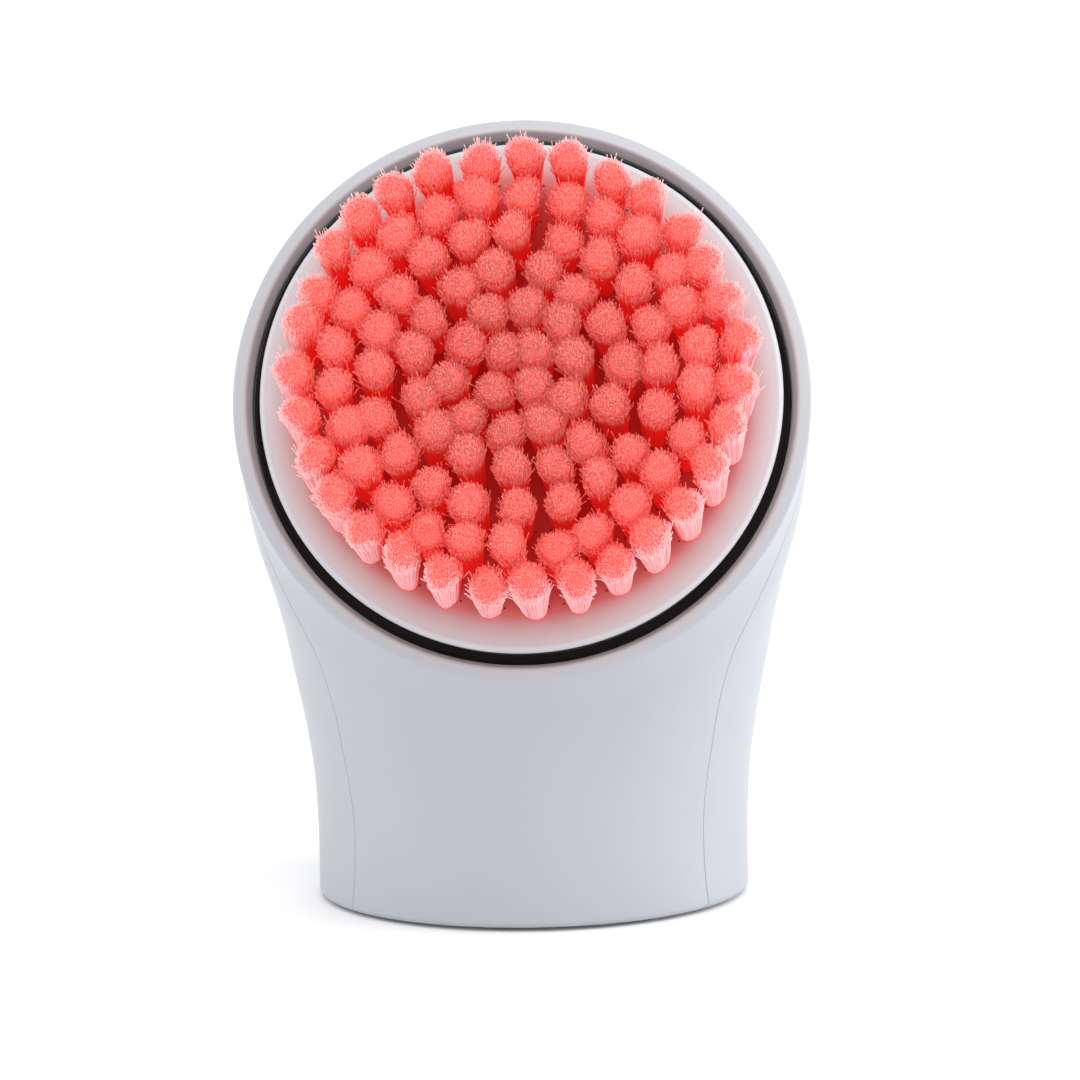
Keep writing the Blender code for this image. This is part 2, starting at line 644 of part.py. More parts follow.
def make_gear_plate(finishes, head):
    idler_x, idler_y = idler_place()
    discs = [(x, y, 2.8) for x, y in POSTS]
    discs += [(0, 0, 5.2), (idler_x, idler_y, 2.6), (0, -MOTOR_DROP, 6.9)]
    plate = hull_plate("gear_plate", discs, *GEAR_PLATE)
    plate = link("gear_plate", plate, finishes["grey"], head)
    low, high = -30.0, 0.0
    holes = [
        rods("plate_screw_holes", POSTS, CLEARANCE_RADIUS, low, high, 12),
        rods("plate_bearing_hole", [(0, 0)], REAR_BUSH_RADIUS + GAP, low, high, 20),
        rods("plate_pin_hole", [(idler_x, idler_y)], PIN_RADIUS + GAP, low, high, 12),
        rods("plate_motor_hole", [(0, -MOTOR_DROP)], 2.9, low, high, 16),
    ]
    for mesh in holes:
        boolean(plate, helper(mesh.name, mesh, head), "DIFFERENCE")
    screw = screw_mesh("plate_screw", 0.8, 1.5, 4.4, 0.9)
    for number, (x, y) in enumerate(POSTS, 1):
        link(f"plate_screw_{number}", screw, finishes["steel"], head, (x, y, GEAR_PLATE[0] - GAP))


def hex_or_round(radius, sides, is_hex):
    """A ring of a shaft. On a hexagon the points lie on its flats and corners."""
    points = []
    for x, y in circle(1.0, sides):
        angle = math.atan2(y, x) % math.radians(60) - math.radians(30)
        reach = radius * math.cos(math.radians(30)) / math.cos(angle) if is_hex else radius
        points.append((x * reach, y * reach))
    return points


def make_spindle(finishes, head):
    """The output shaft: a rear journal, a hexagon for the gear, a front journal and the drive hexagon."""
    shoulder = COARSE_LAYER[0] - 0.6
    gear_front = COARSE_LAYER[1] + 0.1
    drive_back = HUB_RECESS_FLOOR + 0.3
    drive_front = FLOOR_FRONT + 0.3
    steps = (
        (JOURNAL_RADIUS, GEAR_PLATE[0] - 1.9, False), (JOURNAL_RADIUS, shoulder, False),
        (HEX_RADIUS, shoulder, True), (HEX_RADIUS, gear_front, True),
        (NECK_RADIUS, gear_front, False), (NECK_RADIUS, drive_back, False),
        (HEX_RADIUS, drive_back, True), (HEX_RADIUS, FLOOR_FRONT, True),
        (HEX_RADIUS - 0.4, drive_front, True),
    )
    rings = [flat_ring(hex_or_round(radius, 12, is_hex), height) for radius, height, is_hex in steps]
    link("drive_spindle", ring_mesh("drive_spindle", rings), finishes["steel"], head)
    clip = arc_prism("spindle_clip", JOURNAL_RADIUS + GAP, 3.1, 70, GEAR_PLATE[0] - 1.1, GEAR_PLATE[0] - 0.6)
    link("spindle_clip", clip, finishes["steel"], head)
    outer = BEARING_BORE - GAP
    seal = washer("shaft_seal", NECK_RADIUS + 0.35, outer, SEAL_BACK, HUB_RECESS_FLOOR - 0.05, 20)
    link("shaft_seal", seal, finishes["seal"], head)
    front = washer("front_bush", NECK_RADIUS + GAP, outer, BEARING_BACK + 0.1, BUSH_FRONT, 20)
    link("front_bush", front, finishes["bronze"], head)
    rear = washer("rear_bush", JOURNAL_RADIUS + GAP, REAR_BUSH_RADIUS, *GEAR_PLATE, 20)
    link("rear_bush", rear, finishes["bronze"], head)


# ---------------------------------------------------------------- brush head

def tuft_places():
    places = []
    for radius, count, phase in TUFT_RINGS:
        places += circle(radius, count, math.radians(phase))
    return places


def make_brush_plate(finishes, head):
    steps = 3
    rounding = [
        (
            PLATE_RADIUS - PLATE_ROUNDING * (1 - math.cos(math.radians(90 * i / steps))),
            PLATE_FRONT - PLATE_ROUNDING * (1 - math.sin(math.radians(90 * i / steps))),
        )
        for i in range(steps + 1)
    ]
    profile = [(CAP_RADIUS + 0.6, PLATE_BACK), (PLATE_RADIUS, PLATE_BACK + 0.5), *rounding]
    plate = turned("brush_plate", profile, 40, loop=False)
    plate = link("brush_plate", plate, finishes["disc"], head)
    holes = prism(
        "tuft_holes",
        [circle(TUFT_HOLE_RADIUS, TUFT_SIDES, 0.0, place) for place in tuft_places()],
        PLATE_BACK - 1.0, PLATE_FRONT + 1.0,
    )
    boolean(plate, helper("tuft_holes", holes, head), "DIFFERENCE")


def make_bristles(finishes, head):
    mat = rods("bristle_tufts", [(0, 0)], MAT_RADIUS, MAT_BACK, PLATE_BACK - GAP, 32)
    mat = link("bristle_tufts", mat, finishes["bristle"], head)
    bm = bmesh.new()
    for x, y in tuft_places():
        root = circle(TUFT_ROOT_RADIUS, TUFT_SIDES, 0.0, (x, y))
        tip = circle(TUFT_TIP_RADIUS, TUFT_SIDES, 0.0, (x * TUFT_SPREAD, y * TUFT_SPREAD))
        rings = [flat_ring(root, MAT_BACK + 0.2), flat_ring(tip, PLATE_FRONT + TUFT_LENGTH)]
        add_rings(bm, rings, False)
    tufts = finish_mesh("tuft_columns", bm)
    boolean(mat, helper("tuft_columns", tufts, head), "UNION")


def make_brush_hub(finishes, head):
    """The cap behind the bristles, with the socket that the drive hexagon enters."""
    rim = PLATE_BACK - GAP
    floor = MAT_BACK - GAP
    vent = 1.0
    profile = (
        (CAP_RADIUS, rim), (CAP_RADIUS, CAP_BACK), (HUB_RADIUS, CAP_BACK), (HUB_RADIUS, HUB_BACK),
        (vent, HUB_BACK), (vent, floor), (MAT_RADIUS + GAP, floor), (MAT_RADIUS + GAP, rim),
    )
    hub = link("brush_hub", turned("brush_hub", profile, 32), finishes["disc"], head)
    socket = rods("hub_socket", [(0, 0)], HEX_RADIUS + HEX_PLAY, -12.0, FLOOR_FRONT + 0.7, 6)
    boolean(hub, helper("hub_socket", socket, head), "DIFFERENCE")


# ---------------------------------------------------------------- rear controls and wiring

def make_controls(finishes):
    flange_radius, flange_height = BUTTON_RADIUS + 0.9, 0.7
    height = BUTTON_FACE - BUTTON_FLANGE_Y
    profile = (
        (flange_radius, 0.0), (flange_radius, flange_height), (BUTTON_RADIUS, flange_height),
        (BUTTON_RADIUS, height - 0.5), (BUTTON_RADIUS - 0.6, height - 0.1), (BUTTON_RADIUS - 3.0, height),
    )
    button = turned("power_button", profile, 24, loop=False)
    place = (0, BUTTON_FLANGE_Y, BUTTON_Z)
    link("power_button", button, finishes["button"], location=place, rotation=BACKWARD)

    low = (-BOARD_HALF_WIDTH, BOARD_Y[0], BOARD_Z[0])
    high = (BOARD_HALF_WIDTH, BOARD_Y[1], BOARD_Z[1])
    board = link("circuit_board", block("circuit_board", low, high), finishes["board"])
    places = [(x, -BOARD_POST_Z) for x in BOARD_POSTS]
    holes = rods("board_holes", places, CLEARANCE_RADIUS, 10.0, 30.0, 12)
    boolean(board, helper("board_holes", holes, rotation=BACKWARD), "DIFFERENCE")
    screw = screw_mesh("board_screw", 0.6, 1.3, 3.0, 0.8)
    for side, x in zip(("left", "right"), BOARD_POSTS):
        link(
            f"board_screw_{side}", screw, finishes["steel"],
            location=(x, BOARD_Y[0] - GAP, BOARD_POST_Z), rotation=BACKWARD,
        )

    face = BOARD_Y[1] + 0.1
    switch = block("tact_switch", (-2.2, face, BUTTON_Z - 2.2), (2.2, face + 0.7, BUTTON_Z + 2.2))
    switch = link("tact_switch", switch, finishes["grey"])
    plunger = rods("switch_plunger", [(0, -BUTTON_Z)], 1.1, face + 0.4, face + 1.0, 12)
    boolean(switch, helper("switch_plunger", plunger, rotation=BACKWARD), "UNION")
    led = block("status_led", (-0.8, face, LIGHT_Z - 0.5), (0.8, face + 0.7, LIGHT_Z + 0.5))
    link("status_led", led, finishes["lens"])
    profile = ((LIGHT_RADIUS, 0.0), (LIGHT_RADIUS, 3.3), (LIGHT_RADIUS - 0.35, 3.5))
    pipe = turned("light_pipe", profile, 12, loop=False)
    pipe_back = face + 1.3
    link("light_pipe", pipe, finishes["lens"], location=(0, pipe_back, LIGHT_Z), rotation=BACKWARD)


def lead(name, finish, points):
    """A wire: a round tube along the smooth curve through its points."""
    curve = bpy.data.curves.new(name, "CURVE")
    curve.dimensions = "3D"
    curve.bevel_depth = 0.4 * MM
    curve.bevel_resolution = 1
    curve.use_fill_caps = True
    steps = 3 * (len(points) - 1)
    spline = curve.splines.new("POLY")
    spline.points.add(steps)
    for i in range(steps + 1):
        spline.points[i].co = (*(Vector(space_path(points, i / steps)) * MM), 1.0)
    wire = bpy.data.objects.new(name, curve)
    bpy.context.scene.collection.objects.link(wire)
    curve.materials.append(finish)


def space_path(points, fraction):
    """A point on a Catmull-Rom curve through points in space."""
    place = fraction * (len(points) - 1)
    span = min(int(place), len(points) - 2)
    t = place - span
    a = points[max(span - 1, 0)]
    b, c = points[span], points[span + 1]
    d = points[min(span + 2, len(points) - 1)]
    return tuple(
        0.5 * (2 * b[k] + (c[k] - a[k]) * t + (2 * a[k] - 5 * b[k] + 4 * c[k] - d[k]) * t**2
               + (3 * b[k] - a[k] - 3 * c[k] + d[k]) * t**3)
        for k in range(3)
    )


def make_leads(finishes):
    """Two leads each from the charging contacts, the cell and the motor up to the circuit board."""
    end = BATTERY_LENGTH / 2 + GAP + 0.3
    foot = BOARD_Z[0] - 0.8
    board = (BOARD_Y[0] + BOARD_Y[1]) / 2
    under = PLATE_TOP + 0.9
    behind = MOTOR_BACK - 0.8
    for side, word in ((-1, "black"), (1, "red")):
        cell = (
            (side * (end + 0.8), 0.0, BATTERY_Z + 1.0), (side * (end + 1.2), 0.8, 18.0),
            (side * 12.0, 5.0, 25.0), (side * 9.6, 10.0, 32.0), (side * 6.4, board, foot - 2.0),
            (side * 6.4, board, foot),
        )
        charge = (
            (side * (CONTACT_X + 1.7), 0.0, under), (side * 9.0, 0.0, under),
            (side * 14.0, 0.6, 4.2), (side * 15.2, 2.0, 9.0), (side * 15.6, 4.0, 16.0),
            (side * 14.8, 8.0, 25.0), (side * 12.2, 12.0, 33.0), (side * 8.8, board, foot - 2.0),
            (side * 8.8, board, foot),
        )
        motor = (
            head_point(side * 3.4, -MOTOR_DROP - 1.0, behind), head_point(side * 6.0, -MOTOR_DROP, behind),
            head_point(side * 8.2, -8.6, MOTOR_BACK + 2.0), head_point(side * 7.0, -5.0, -20.5),
            (side * 4.2, board, foot - 2.0), (side * 4.2, board, foot),
        )
        for name, route in (("cell", cell), ("charge", charge), ("motor", motor)):
            lead(f"{name}_lead_{word}", finishes[word], route)


def main():
    clear_scene()
    finishes = make_materials()
    head = frame_empty("head_frame", head_point(0, 0, 0), tilt=math.radians(90 - HEAD_TILT))
    idler_axis = frame_empty("idler_axis", (*idler_place(), 0), head)
    motor_axis = frame_empty("motor_axis", (0, -MOTOR_DROP, 0), head)
    make_front_shell(finishes["shell"], head)
    make_rear_shell(finishes["shell"], head)
    make_well_liner(finishes["seal"], head)
    make_base(finishes)
    make_battery(finishes)
    make_gears(finishes, head, idler_axis, motor_axis)
    make_motor(finishes, head, motor_axis)
    make_gear_plate(finishes, head)
    make_spindle(finishes, head)
    make_brush_plate(finishes, head)
    make_bristles(finishes, head)
    make_brush_hub(finishes, head)
    make_controls(finishes)
    make_leads(finishes)


main()
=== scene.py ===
"""The looks of a compact facial cleansing brush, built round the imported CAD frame.

Lengths are in millimetres and become metres as vertices are made. The head frame has its origin at the
middle of the collar's lip, X to the right, Y up along the lip's plane and Z outwards along the spin axis.
"""

import json
import math

import bmesh
import bpy
import numpy as np
from mathutils import Matrix, Vector


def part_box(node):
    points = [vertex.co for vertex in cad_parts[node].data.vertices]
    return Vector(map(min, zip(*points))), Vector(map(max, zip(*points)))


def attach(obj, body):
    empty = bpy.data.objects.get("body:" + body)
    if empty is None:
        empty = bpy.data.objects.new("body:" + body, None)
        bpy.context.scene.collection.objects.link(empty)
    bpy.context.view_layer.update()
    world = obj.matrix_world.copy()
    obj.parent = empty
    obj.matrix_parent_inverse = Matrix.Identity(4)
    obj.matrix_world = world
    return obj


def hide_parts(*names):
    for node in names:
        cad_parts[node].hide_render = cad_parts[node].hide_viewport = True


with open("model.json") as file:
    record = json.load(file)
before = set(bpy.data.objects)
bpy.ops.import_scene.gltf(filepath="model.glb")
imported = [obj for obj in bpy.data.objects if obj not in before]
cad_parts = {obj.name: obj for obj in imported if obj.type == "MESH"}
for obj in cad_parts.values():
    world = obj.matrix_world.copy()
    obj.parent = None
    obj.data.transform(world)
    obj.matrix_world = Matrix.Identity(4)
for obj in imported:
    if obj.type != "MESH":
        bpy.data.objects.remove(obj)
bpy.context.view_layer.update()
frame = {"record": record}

MM = 0.001

# Head frame, from the spin joint
SPIN = next(joint for joint in frame["record"]["behaviour"]["joints"] if joint["name"] == "drive_spin")
HEAD_NORMAL = (SPIN["axis"][1], SPIN["axis"][2])
HEAD_UP = (HEAD_NORMAL[1], -HEAD_NORMAL[0])
HEAD_Y = SPIN["pos_m"][1] / MM
HEAD_Z = SPIN["pos_m"][2] / MM
HEAD_MATRIX = Matrix((
    (1, 0, 0, 0),
    (0, HEAD_UP[0], HEAD_NORMAL[0], HEAD_Y * MM),
    (0, HEAD_UP[1], HEAD_NORMAL[1], HEAD_Z * MM),
    (0, 0, 0, 1),
))

# Housing skin, as side-view points (y, z) and half widths (z, half width)
FAR = 60.0
WALL = 1.8
BASE_HALF_WIDTH = 19.65
BASE_HALF_DEPTH = 13.75
SHELL_BOTTOM = 0.3
BASE_EDGE = 0.6
COLLAR_RADIUS = 26.0
COLLAR_SHOULDER = -0.5
HALF_WIDTHS = (
    (0.0, 19.6), (6.0, 19.65), (12.0, 20.0), (17.6, 20.8), (23.2, 21.85),
    (28.8, 22.85), (34.4, 24.1), (40.0, 25.45), (46.07, 26.0),
)
REAR_BULGE = ((16.2, 10.0), (19.4, 24.0), (21.4, 38.0), (21.0, 50.0), (18.7, 61.5), (14.5, 67.8))
REAR_INSIDE = ((14.4, 10.0), (17.6, 24.0), (19.6, 38.0), (19.2, 50.0), (17.0, 60.5))
FRONT_WAIST = ((-13.45, 11.5), (-12.95, 19.8))
FRONT_INSIDE = ((-11.65, 11.5), (-11.1, 17.5), (-8.9, 20.8))
INSIDE_TOP_FRONT = -20.6
INSIDE_TOP_REAR = 22.6
SKIN_SIDES = 180
SKIN_SECTIONS = 72
INSIDE_SECTIONS = 20
EDGE_STEPS = 6

# Lip of the collar and the well inside it, as radii and heights in the head frame
WELL_RADIUS = 24.3
LIP = (
    (26.0, -0.45), (25.86, -0.35), (24.95, 0.03), (24.75, -0.05), (24.25, -1.1), (WELL_RADIUS, -1.35),
)
LIP_ROUNDING = 0.5
LIP_CREST = 24.9
# Band of the lip's inner chamfer that gets painted pink bounce light
BOUNCE_EDGE = 0.35
BOUNCE_FADE = 0.4
WELL_STEP = -2.9
WELL_INNER_RADIUS = 22.9
FLOOR_FRONT = -4.9
FLOOR_BACK = -6.4
HUB_RECESS_RADIUS = 5.2
HUB_RECESS_FLOOR = -6.9
BEARING_BORE = 4.0
BEARING_BOSS = 6.6
BEARING_BACK = -9.9

# Near-black ring that lines the well, painted shade for the deep gap round the disc
LINER_RADIUS = 24.15
LINER_FRONT = -2.1
LINER_BACK = -2.75
LINER_LEG = 0.3
LINER_FOOT = 0.25
LINER_FOOT_RADIUS = 23.05

# Parting surface between the shells
PARTING_FOOT = (
    (-7.9, -5.0), (-7.9, 0.0), (-7.55, 8.0), (-7.35, 18.0), (-7.3, 23.0), (-7.1, 25.5), (-6.2, 28.8),
)
PARTING_DEPTH = -3.6
PARTING_BEND = ((-14.0, PARTING_DEPTH - 0.3), (-9.0, PARTING_DEPTH))
PARTING_STEPS = 60
SKIRT_RADIUS = 24.4
SKIRT_DEPTH = 0.15
BOSS_WALL = 1.4
SEAM = 0.08

# Brush disc, hub and fused mat
PLATE_RADIUS = 23.5
PLATE_FRONT = 0.9
PLATE_BACK = -2.2
PLATE_ROUNDING = 0.6
PLATE_UNDERCUT = 0.7
CAP_RADIUS = 22.3
CAP_BACK = -4.3
HUB_RIM = -2.5
HUB_RADIUS = 4.3
HUB_BACK = -6.5
SOCKET_RADIUS = 2.65
MAT_RADIUS = 21.4
MAT_BACK = -3.1

# Tufts, as rings of (radius, number, angle of the first)
TUFT_RINGS = (
    (2.25, 4, 45.0), (5.7, 10, 8.0), (9.2, 15, 3.0), (12.6, 20, 0.0), (16.1, 26, 5.0), (19.5, 31, -86.6),
)
TUFT_HOLE = 1.0
TUFT_ROOT = 1.0
TUFT_DEPTH = 0.6
TUFT_LENGTH = 11.7
TUFT_END = 1.78
TUFT_LEAN = 0.34
CORE_SHARE = 0.88
TIP_FILAMENTS = 560
SIDE_FILAMENTS = 200
FILAMENT_RADIUS = 0.048
TIP_LEVELS = np.array([0.8, 0.993, 1.0])
SIDE_LEVELS = np.array([0.0, 0.35, 0.7, 0.993, 1.0])
TUFTS_PER_PIECE = 14
ROOT_DOT_REACH = 1.3
ROOT_DOT_RADIUS = 0.1

# Linear colours: the fibres from a tuft's root to its tip, with painted shade between tufts, painted light on
# the outer sides and a painted glow; and the plastics, with painted bounce light and shade on the lip and the
# disc
# Strength of the painted glow that the bristles give off, though they are no lamp
PAINTED_GLOW = 0.2
# Painted shade red low between tufts; coral and frosted are the fibres' own colours; the pale pinks are
# painted light on the outer tufts' outward sides
PAINTED_SHADE_RED = np.array((0.90, 0.035, 0.025))
CORAL = np.array((0.935, 0.335, 0.30))
FROSTED = np.array((0.975, 0.55, 0.52))
PAINTED_LIGHT_PINK = np.array((0.92, 0.57, 0.58))
PAINTED_LIGHT_END = np.array((0.95, 0.69, 0.69))
SHELL_WHITE = (0.414, 0.435, 0.475)
# Painted pink bounce light from the bristles on the lip's inner chamfer
LIP_BOUNCE_PINK = (0.44, 0.425, 0.44)
DISC_WHITE = (0.505, 0.507, 0.537)
# Painted bounce light and painted shade on the disc, deep red among the tufts and plain white at the rim
DISC_BOUNCE_START = 17.0
DISC_BOUNCE_AND_SHADE = (
    (0.0, (0.56, 0.055, 0.05)), (0.48, (0.56, 0.17, 0.165)), (0.66, (0.54, 0.37, 0.38)),
    (0.77, (0.54, 0.45, 0.465)), (0.87, (0.545, 0.515, 0.53)), (0.96, DISC_WHITE),
)
GRAIN_SCALE = 5200.0
GRAIN_DEPTH = 0.004
MOTTLE_SCALE = 90.0
SATIN = (0.37, 0.43)

# Rear controls and base
BACKWARD = Matrix.Rotation(math.radians(-90), 4, "X")
BUTTON_HOLE = 5.25
LIGHT_HOLE = 1.15
BUTTON_LEDGE = 0.9
BUTTON_DISH = 0.35
PLATE_EDGE = 0.4
COUNTERBORE_DEPTH = 1.3
SHANK_RADIUS = 0.8
SCREW_HEAD = 0.9
THREAD_ROOT = 0.62
THREAD_PITCH = 0.5

# Camera
CAMERA_DISTANCE = 0.600
CAMERA_HEIGHT = 0.033
CAMERA_ELEVATION = 13.3
CAMERA_TURN = 2.6
CAMERA_ROLL = -1.33
CAMERA_LENS = 221.0
CAMERA_SHIFT = (0.0131, -0.0009)

# Studio lights, as (name, place, target, size, watts)
WORLD_STRENGTH = 0.52
MIDDLE = (0.0, 0.0, 0.035)
LIGHTS = (
    ("right_softbox", (1.0, 0.0, 0.40), MIDDLE, (0.7, 0.9), 8.2),
    ("left_softbox", (-1.0, 0.0, 0.35), MIDDLE, (0.6, 0.9), 4.0),
    ("front_softbox", (0.15, -1.1, 0.10), MIDDLE, (1.0, 0.2), 1.6),
    ("back_softbox", (0.2, 1.2, 0.55), MIDDLE, (1.2, 0.8), 4.0),
    ("near_softbox", (0.0, -0.05, 0.42), MIDDLE, (0.35, 0.25), 0.45),
    ("top_softbox", (0.0, -0.4, 1.45), (0.0, 0.0, 0.0), (2.4, 2.4), 16.0),
)


# ---------------------------------------------------------------- mesh builders

def finish_mesh(name, bm):
    bmesh.ops.recalc_face_normals(bm, faces=bm.faces)
    mesh = bpy.data.meshes.new(name)
    bm.to_mesh(mesh)
    bm.free()
    return mesh


def circle(radius, sides, turn=0.0, centre=(0.0, 0.0)):
    step = 2 * math.pi / sides
    return [
        (centre[0] + radius * math.cos(turn + i * step), centre[1] + radius * math.sin(turn + i * step))
        for i in range(sides)
    ]


def ellipse(half_width, half_depth, sides):
    return [(x * half_width, y * half_depth) for x, y in circle(1.0, sides)]


def add_rings(bm, rings, loop):
    made = [[bm.verts.new(Vector(point) * MM) for point in ring] for ring in rings]
    pairs = list(zip(made, made[1:]))
    if loop:
        pairs.append((made[-1], made[0]))
    for lower, upper in pairs:
        count = len(lower)
        for i in range(count):
            j = (i + 1) % count
            bm.faces.new((lower[i], lower[j], upper[j], upper[i]))
    if not loop:
        bm.faces.new(made[0])
        bm.faces.new(made[-1])


def ring_mesh(name, rings, loop=False):
    bm = bmesh.new()
    add_rings(bm, rings, loop)
    return finish_mesh(name, bm)


def flat_ring(outline, height):
    return [(x, y, height) for x, y in outline]


def turned(name, profile, sides=96, loop=True):
    rings = [flat_ring(circle(radius, sides), height) for radius, height in profile]
    return ring_mesh(name, rings, loop)


def prism(name, outlines, low, high):
    bm = bmesh.new()
    for outline in outlines:
        add_rings(bm, [flat_ring(outline, low), flat_ring(outline, high)], False)
    return finish_mesh(name, bm)


def rods(name, centres, radius, low, high, sides=32):
    return prism(name, [circle(radius, sides, 0.0, centre) for centre in centres], low, high)


def rounded(corners, radius, steps=5):
    """A profile with each inner corner rounded off by an arc. The first and last points stay sharp."""
    made = [corners[0]]
    for before, corner, after in zip(corners, corners[1:], corners[2:]):
        corner_point = Vector(corner)
        arrive = Vector(before) - corner_point
        leave = Vector(after) - corner_point
        reach = min(radius, arrive.length * 0.48, leave.length * 0.48)
        start = corner_point + arrive.normalized() * reach
        end = corner_point + leave.normalized() * reach
        for i in range(steps + 1):
            t = i / steps
            point = start * (1 - t) ** 2 + corner_point * 2 * t * (1 - t) + end * t**2
            made.append((point.x, point.y))
    made.append(corners[-1])
    return made


def put(name, mesh, matrix=None):
    item = bpy.data.objects.new(name, mesh)
    bpy.context.scene.collection.objects.link(item)
    if matrix is not None:
        item.matrix_world = matrix
    return item


def shade(item, angle=30):
    item.data.shade_smooth()
    item.data.set_sharp_from_angle(angle=math.radians(angle))


def apply_modifiers(item):
    graph = bpy.context.evaluated_depsgraph_get()
    mesh = bpy.data.meshes.new_from_object(item.evaluated_get(graph), depsgraph=graph)
    item.modifiers.clear()
    item.data = mesh


def carve(item, tools, operation="DIFFERENCE"):
    """Cuts item by each tool, or joins it to each, and removes the tools."""
    for tool in tools:
        cut = item.modifiers.new(tool.name, "BOOLEAN")
        cut.object = tool
        cut.operation = operation
        cut.solver = "EXACT"
    apply_modifiers(item)
    for tool in tools:
        bpy.data.objects.remove(tool, do_unlink=True)


def finish_piece(piece, finish, body, node, angle=30):
    """Shades and colours a piece, ties it to its moving body, and hides the CAD node it stands for."""
    shade(piece, angle)
    piece.data.materials.clear()
    piece.data.materials.append(finish)
    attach(piece, body)
    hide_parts(node)


def node_box(node):
    """The low and high corners of a CAD node, in millimetres."""
    low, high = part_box(node)
    return [value / MM for value in low], [value / MM for value in high]


# ---------------------------------------------------------------- housing skin

def head_point(x, along, height):
    y = HEAD_Y + along * HEAD_UP[0] + height * HEAD_NORMAL[0]
    z = HEAD_Z + along * HEAD_UP[1] + height * HEAD_NORMAL[1]
    return (x, y, z)


def head_ring(radius, height):
    return [head_point(x, y, height) for x, y in circle(radius, SKIN_SIDES)]


def smooth_path(points, fraction):
    """A point on the smooth curve through points, at a fraction of its chord length."""
    marks = [0.0]
    for a, b in zip(points, points[1:]):
        marks.append(marks[-1] + math.dist(a, b))
    marks = [mark / marks[-1] for mark in marks]
    last = len(points) - 1
    span = max(i for i in range(last) if marks[i] <= fraction)

    def slope(i):
        before, after = max(i - 1, 0), min(i + 1, last)
        return [(points[after][k] - points[before][k]) / (marks[after] - marks[before]) for k in (0, 1)]

    width = marks[span + 1] - marks[span]
    t = (fraction - marks[span]) / width
    start, end = slope(span), slope(span + 1)
    return tuple(
        (2 * t**3 - 3 * t**2 + 1) * points[span][k]
        + (t**3 - 2 * t**2 + t) * width * start[k]
        + (3 * t**2 - 2 * t**3) * points[span + 1][k]
        + (t**3 - t**2) * width * end[k]
        for k in (0, 1)
    )


def half_width(z):
    low, high = 0.0, 1.0
    for _ in range(30):
        middle = (low + high) / 2
        if smooth_path(HALF_WIDTHS, middle)[0] < z:
            low = middle
        else:
            high = middle
    return smooth_path(HALF_WIDTHS, low)[1]


def skin_ring(front, rear, inset):
    middle = [(front[k] + rear[k]) / 2 for k in (0, 1)]
    half = [(rear[k] - front[k]) / 2 for k in (0, 1)]
    width = half_width(middle[1]) - inset
    return [(width * x, middle[0] + half[0] * s, middle[1] + half[1] * s) for x, s in circle(1.0, SKIN_SIDES)]


def outer_rings():
    start = SHELL_BOTTOM + BASE_EDGE
    front = [(-BASE_HALF_DEPTH, start), *FRONT_WAIST, head_point(0, -COLLAR_RADIUS, COLLAR_SHOULDER)[1:]]
    rear = [(BASE_HALF_DEPTH, start), *REAR_BULGE, head_point(0, COLLAR_RADIUS, COLLAR_SHOULDER)[1:]]
    rings = []
    for i in range(EDGE_STEPS):
        turn = math.radians(90 * i / EDGE_STEPS)
        inset = BASE_EDGE * (1 - math.sin(turn))
        outline = ellipse(BASE_HALF_WIDTH - inset, BASE_HALF_DEPTH - inset, SKIN_SIDES)
        rings.append(flat_ring(outline, SHELL_BOTTOM + BASE_EDGE * (1 - math.cos(turn))))
    for i in range(SKIN_SECTIONS + 1):
        fraction = i / SKIN_SECTIONS
        rings.append(skin_ring(smooth_path(front, fraction), smooth_path(rear, fraction), 0.0))
    return rings


def inner_rings():
    top_front = head_point(0, INSIDE_TOP_FRONT, FLOOR_BACK)[1:]
    top_rear = head_point(0, INSIDE_TOP_REAR, FLOOR_BACK)[1:]
    inner_depth = BASE_HALF_DEPTH - WALL
    front = [(-inner_depth, SHELL_BOTTOM), *FRONT_INSIDE, top_front]
    rear = [(inner_depth, SHELL_BOTTOM), *REAR_INSIDE, top_rear]
    rings = []
    for i in range(INSIDE_SECTIONS, -1, -1):
        fraction = i / INSIDE_SECTIONS
        rings.append(skin_ring(smooth_path(front, fraction), smooth_path(rear, fraction), WALL))
    return rings


def collar_profile():
    """The lip from the outer shoulder over the top and down the inner chamfer, then the stepped well."""
    lip = rounded(LIP, LIP_ROUNDING, 4)
    well = (
        (WELL_RADIUS, WELL_STEP), (WELL_INNER_RADIUS, WELL_STEP), (WELL_INNER_RADIUS, FLOOR_FRONT),
        (HUB_RECESS_RADIUS, FLOOR_FRONT), (HUB_RECESS_RADIUS, HUB_RECESS_FLOOR),
        (BEARING_BORE, HUB_RECESS_FLOOR), (BEARING_BORE, BEARING_BACK),
        (BEARING_BOSS, BEARING_BACK), (BEARING_BOSS, FLOOR_BACK),
    )
    return [*lip, *well]


def housing_blank(name):
    rings = outer_rings() + [head_ring(*point) for point in collar_profile()] + inner_rings()
    return put(name, ring_mesh(name, rings, loop=True))


def parting_line(gap):
    """The side-view curve that divides the shells, from below the base to far above the collar."""
    points = [*PARTING_FOOT, *(head_point(0, s, h)[1:] for s, h in PARTING_BEND)]
    points.append(head_point(0, 4.0, PARTING_DEPTH)[1:])
    line = [smooth_path(points, i / PARTING_STEPS) for i in range(PARTING_STEPS)]
    line += [points[-1], head_point(0, FAR, PARTING_DEPTH)[1:]]
    return [(y - gap * HEAD_NORMAL[0], z - gap * HEAD_NORMAL[1]) for y, z in line]


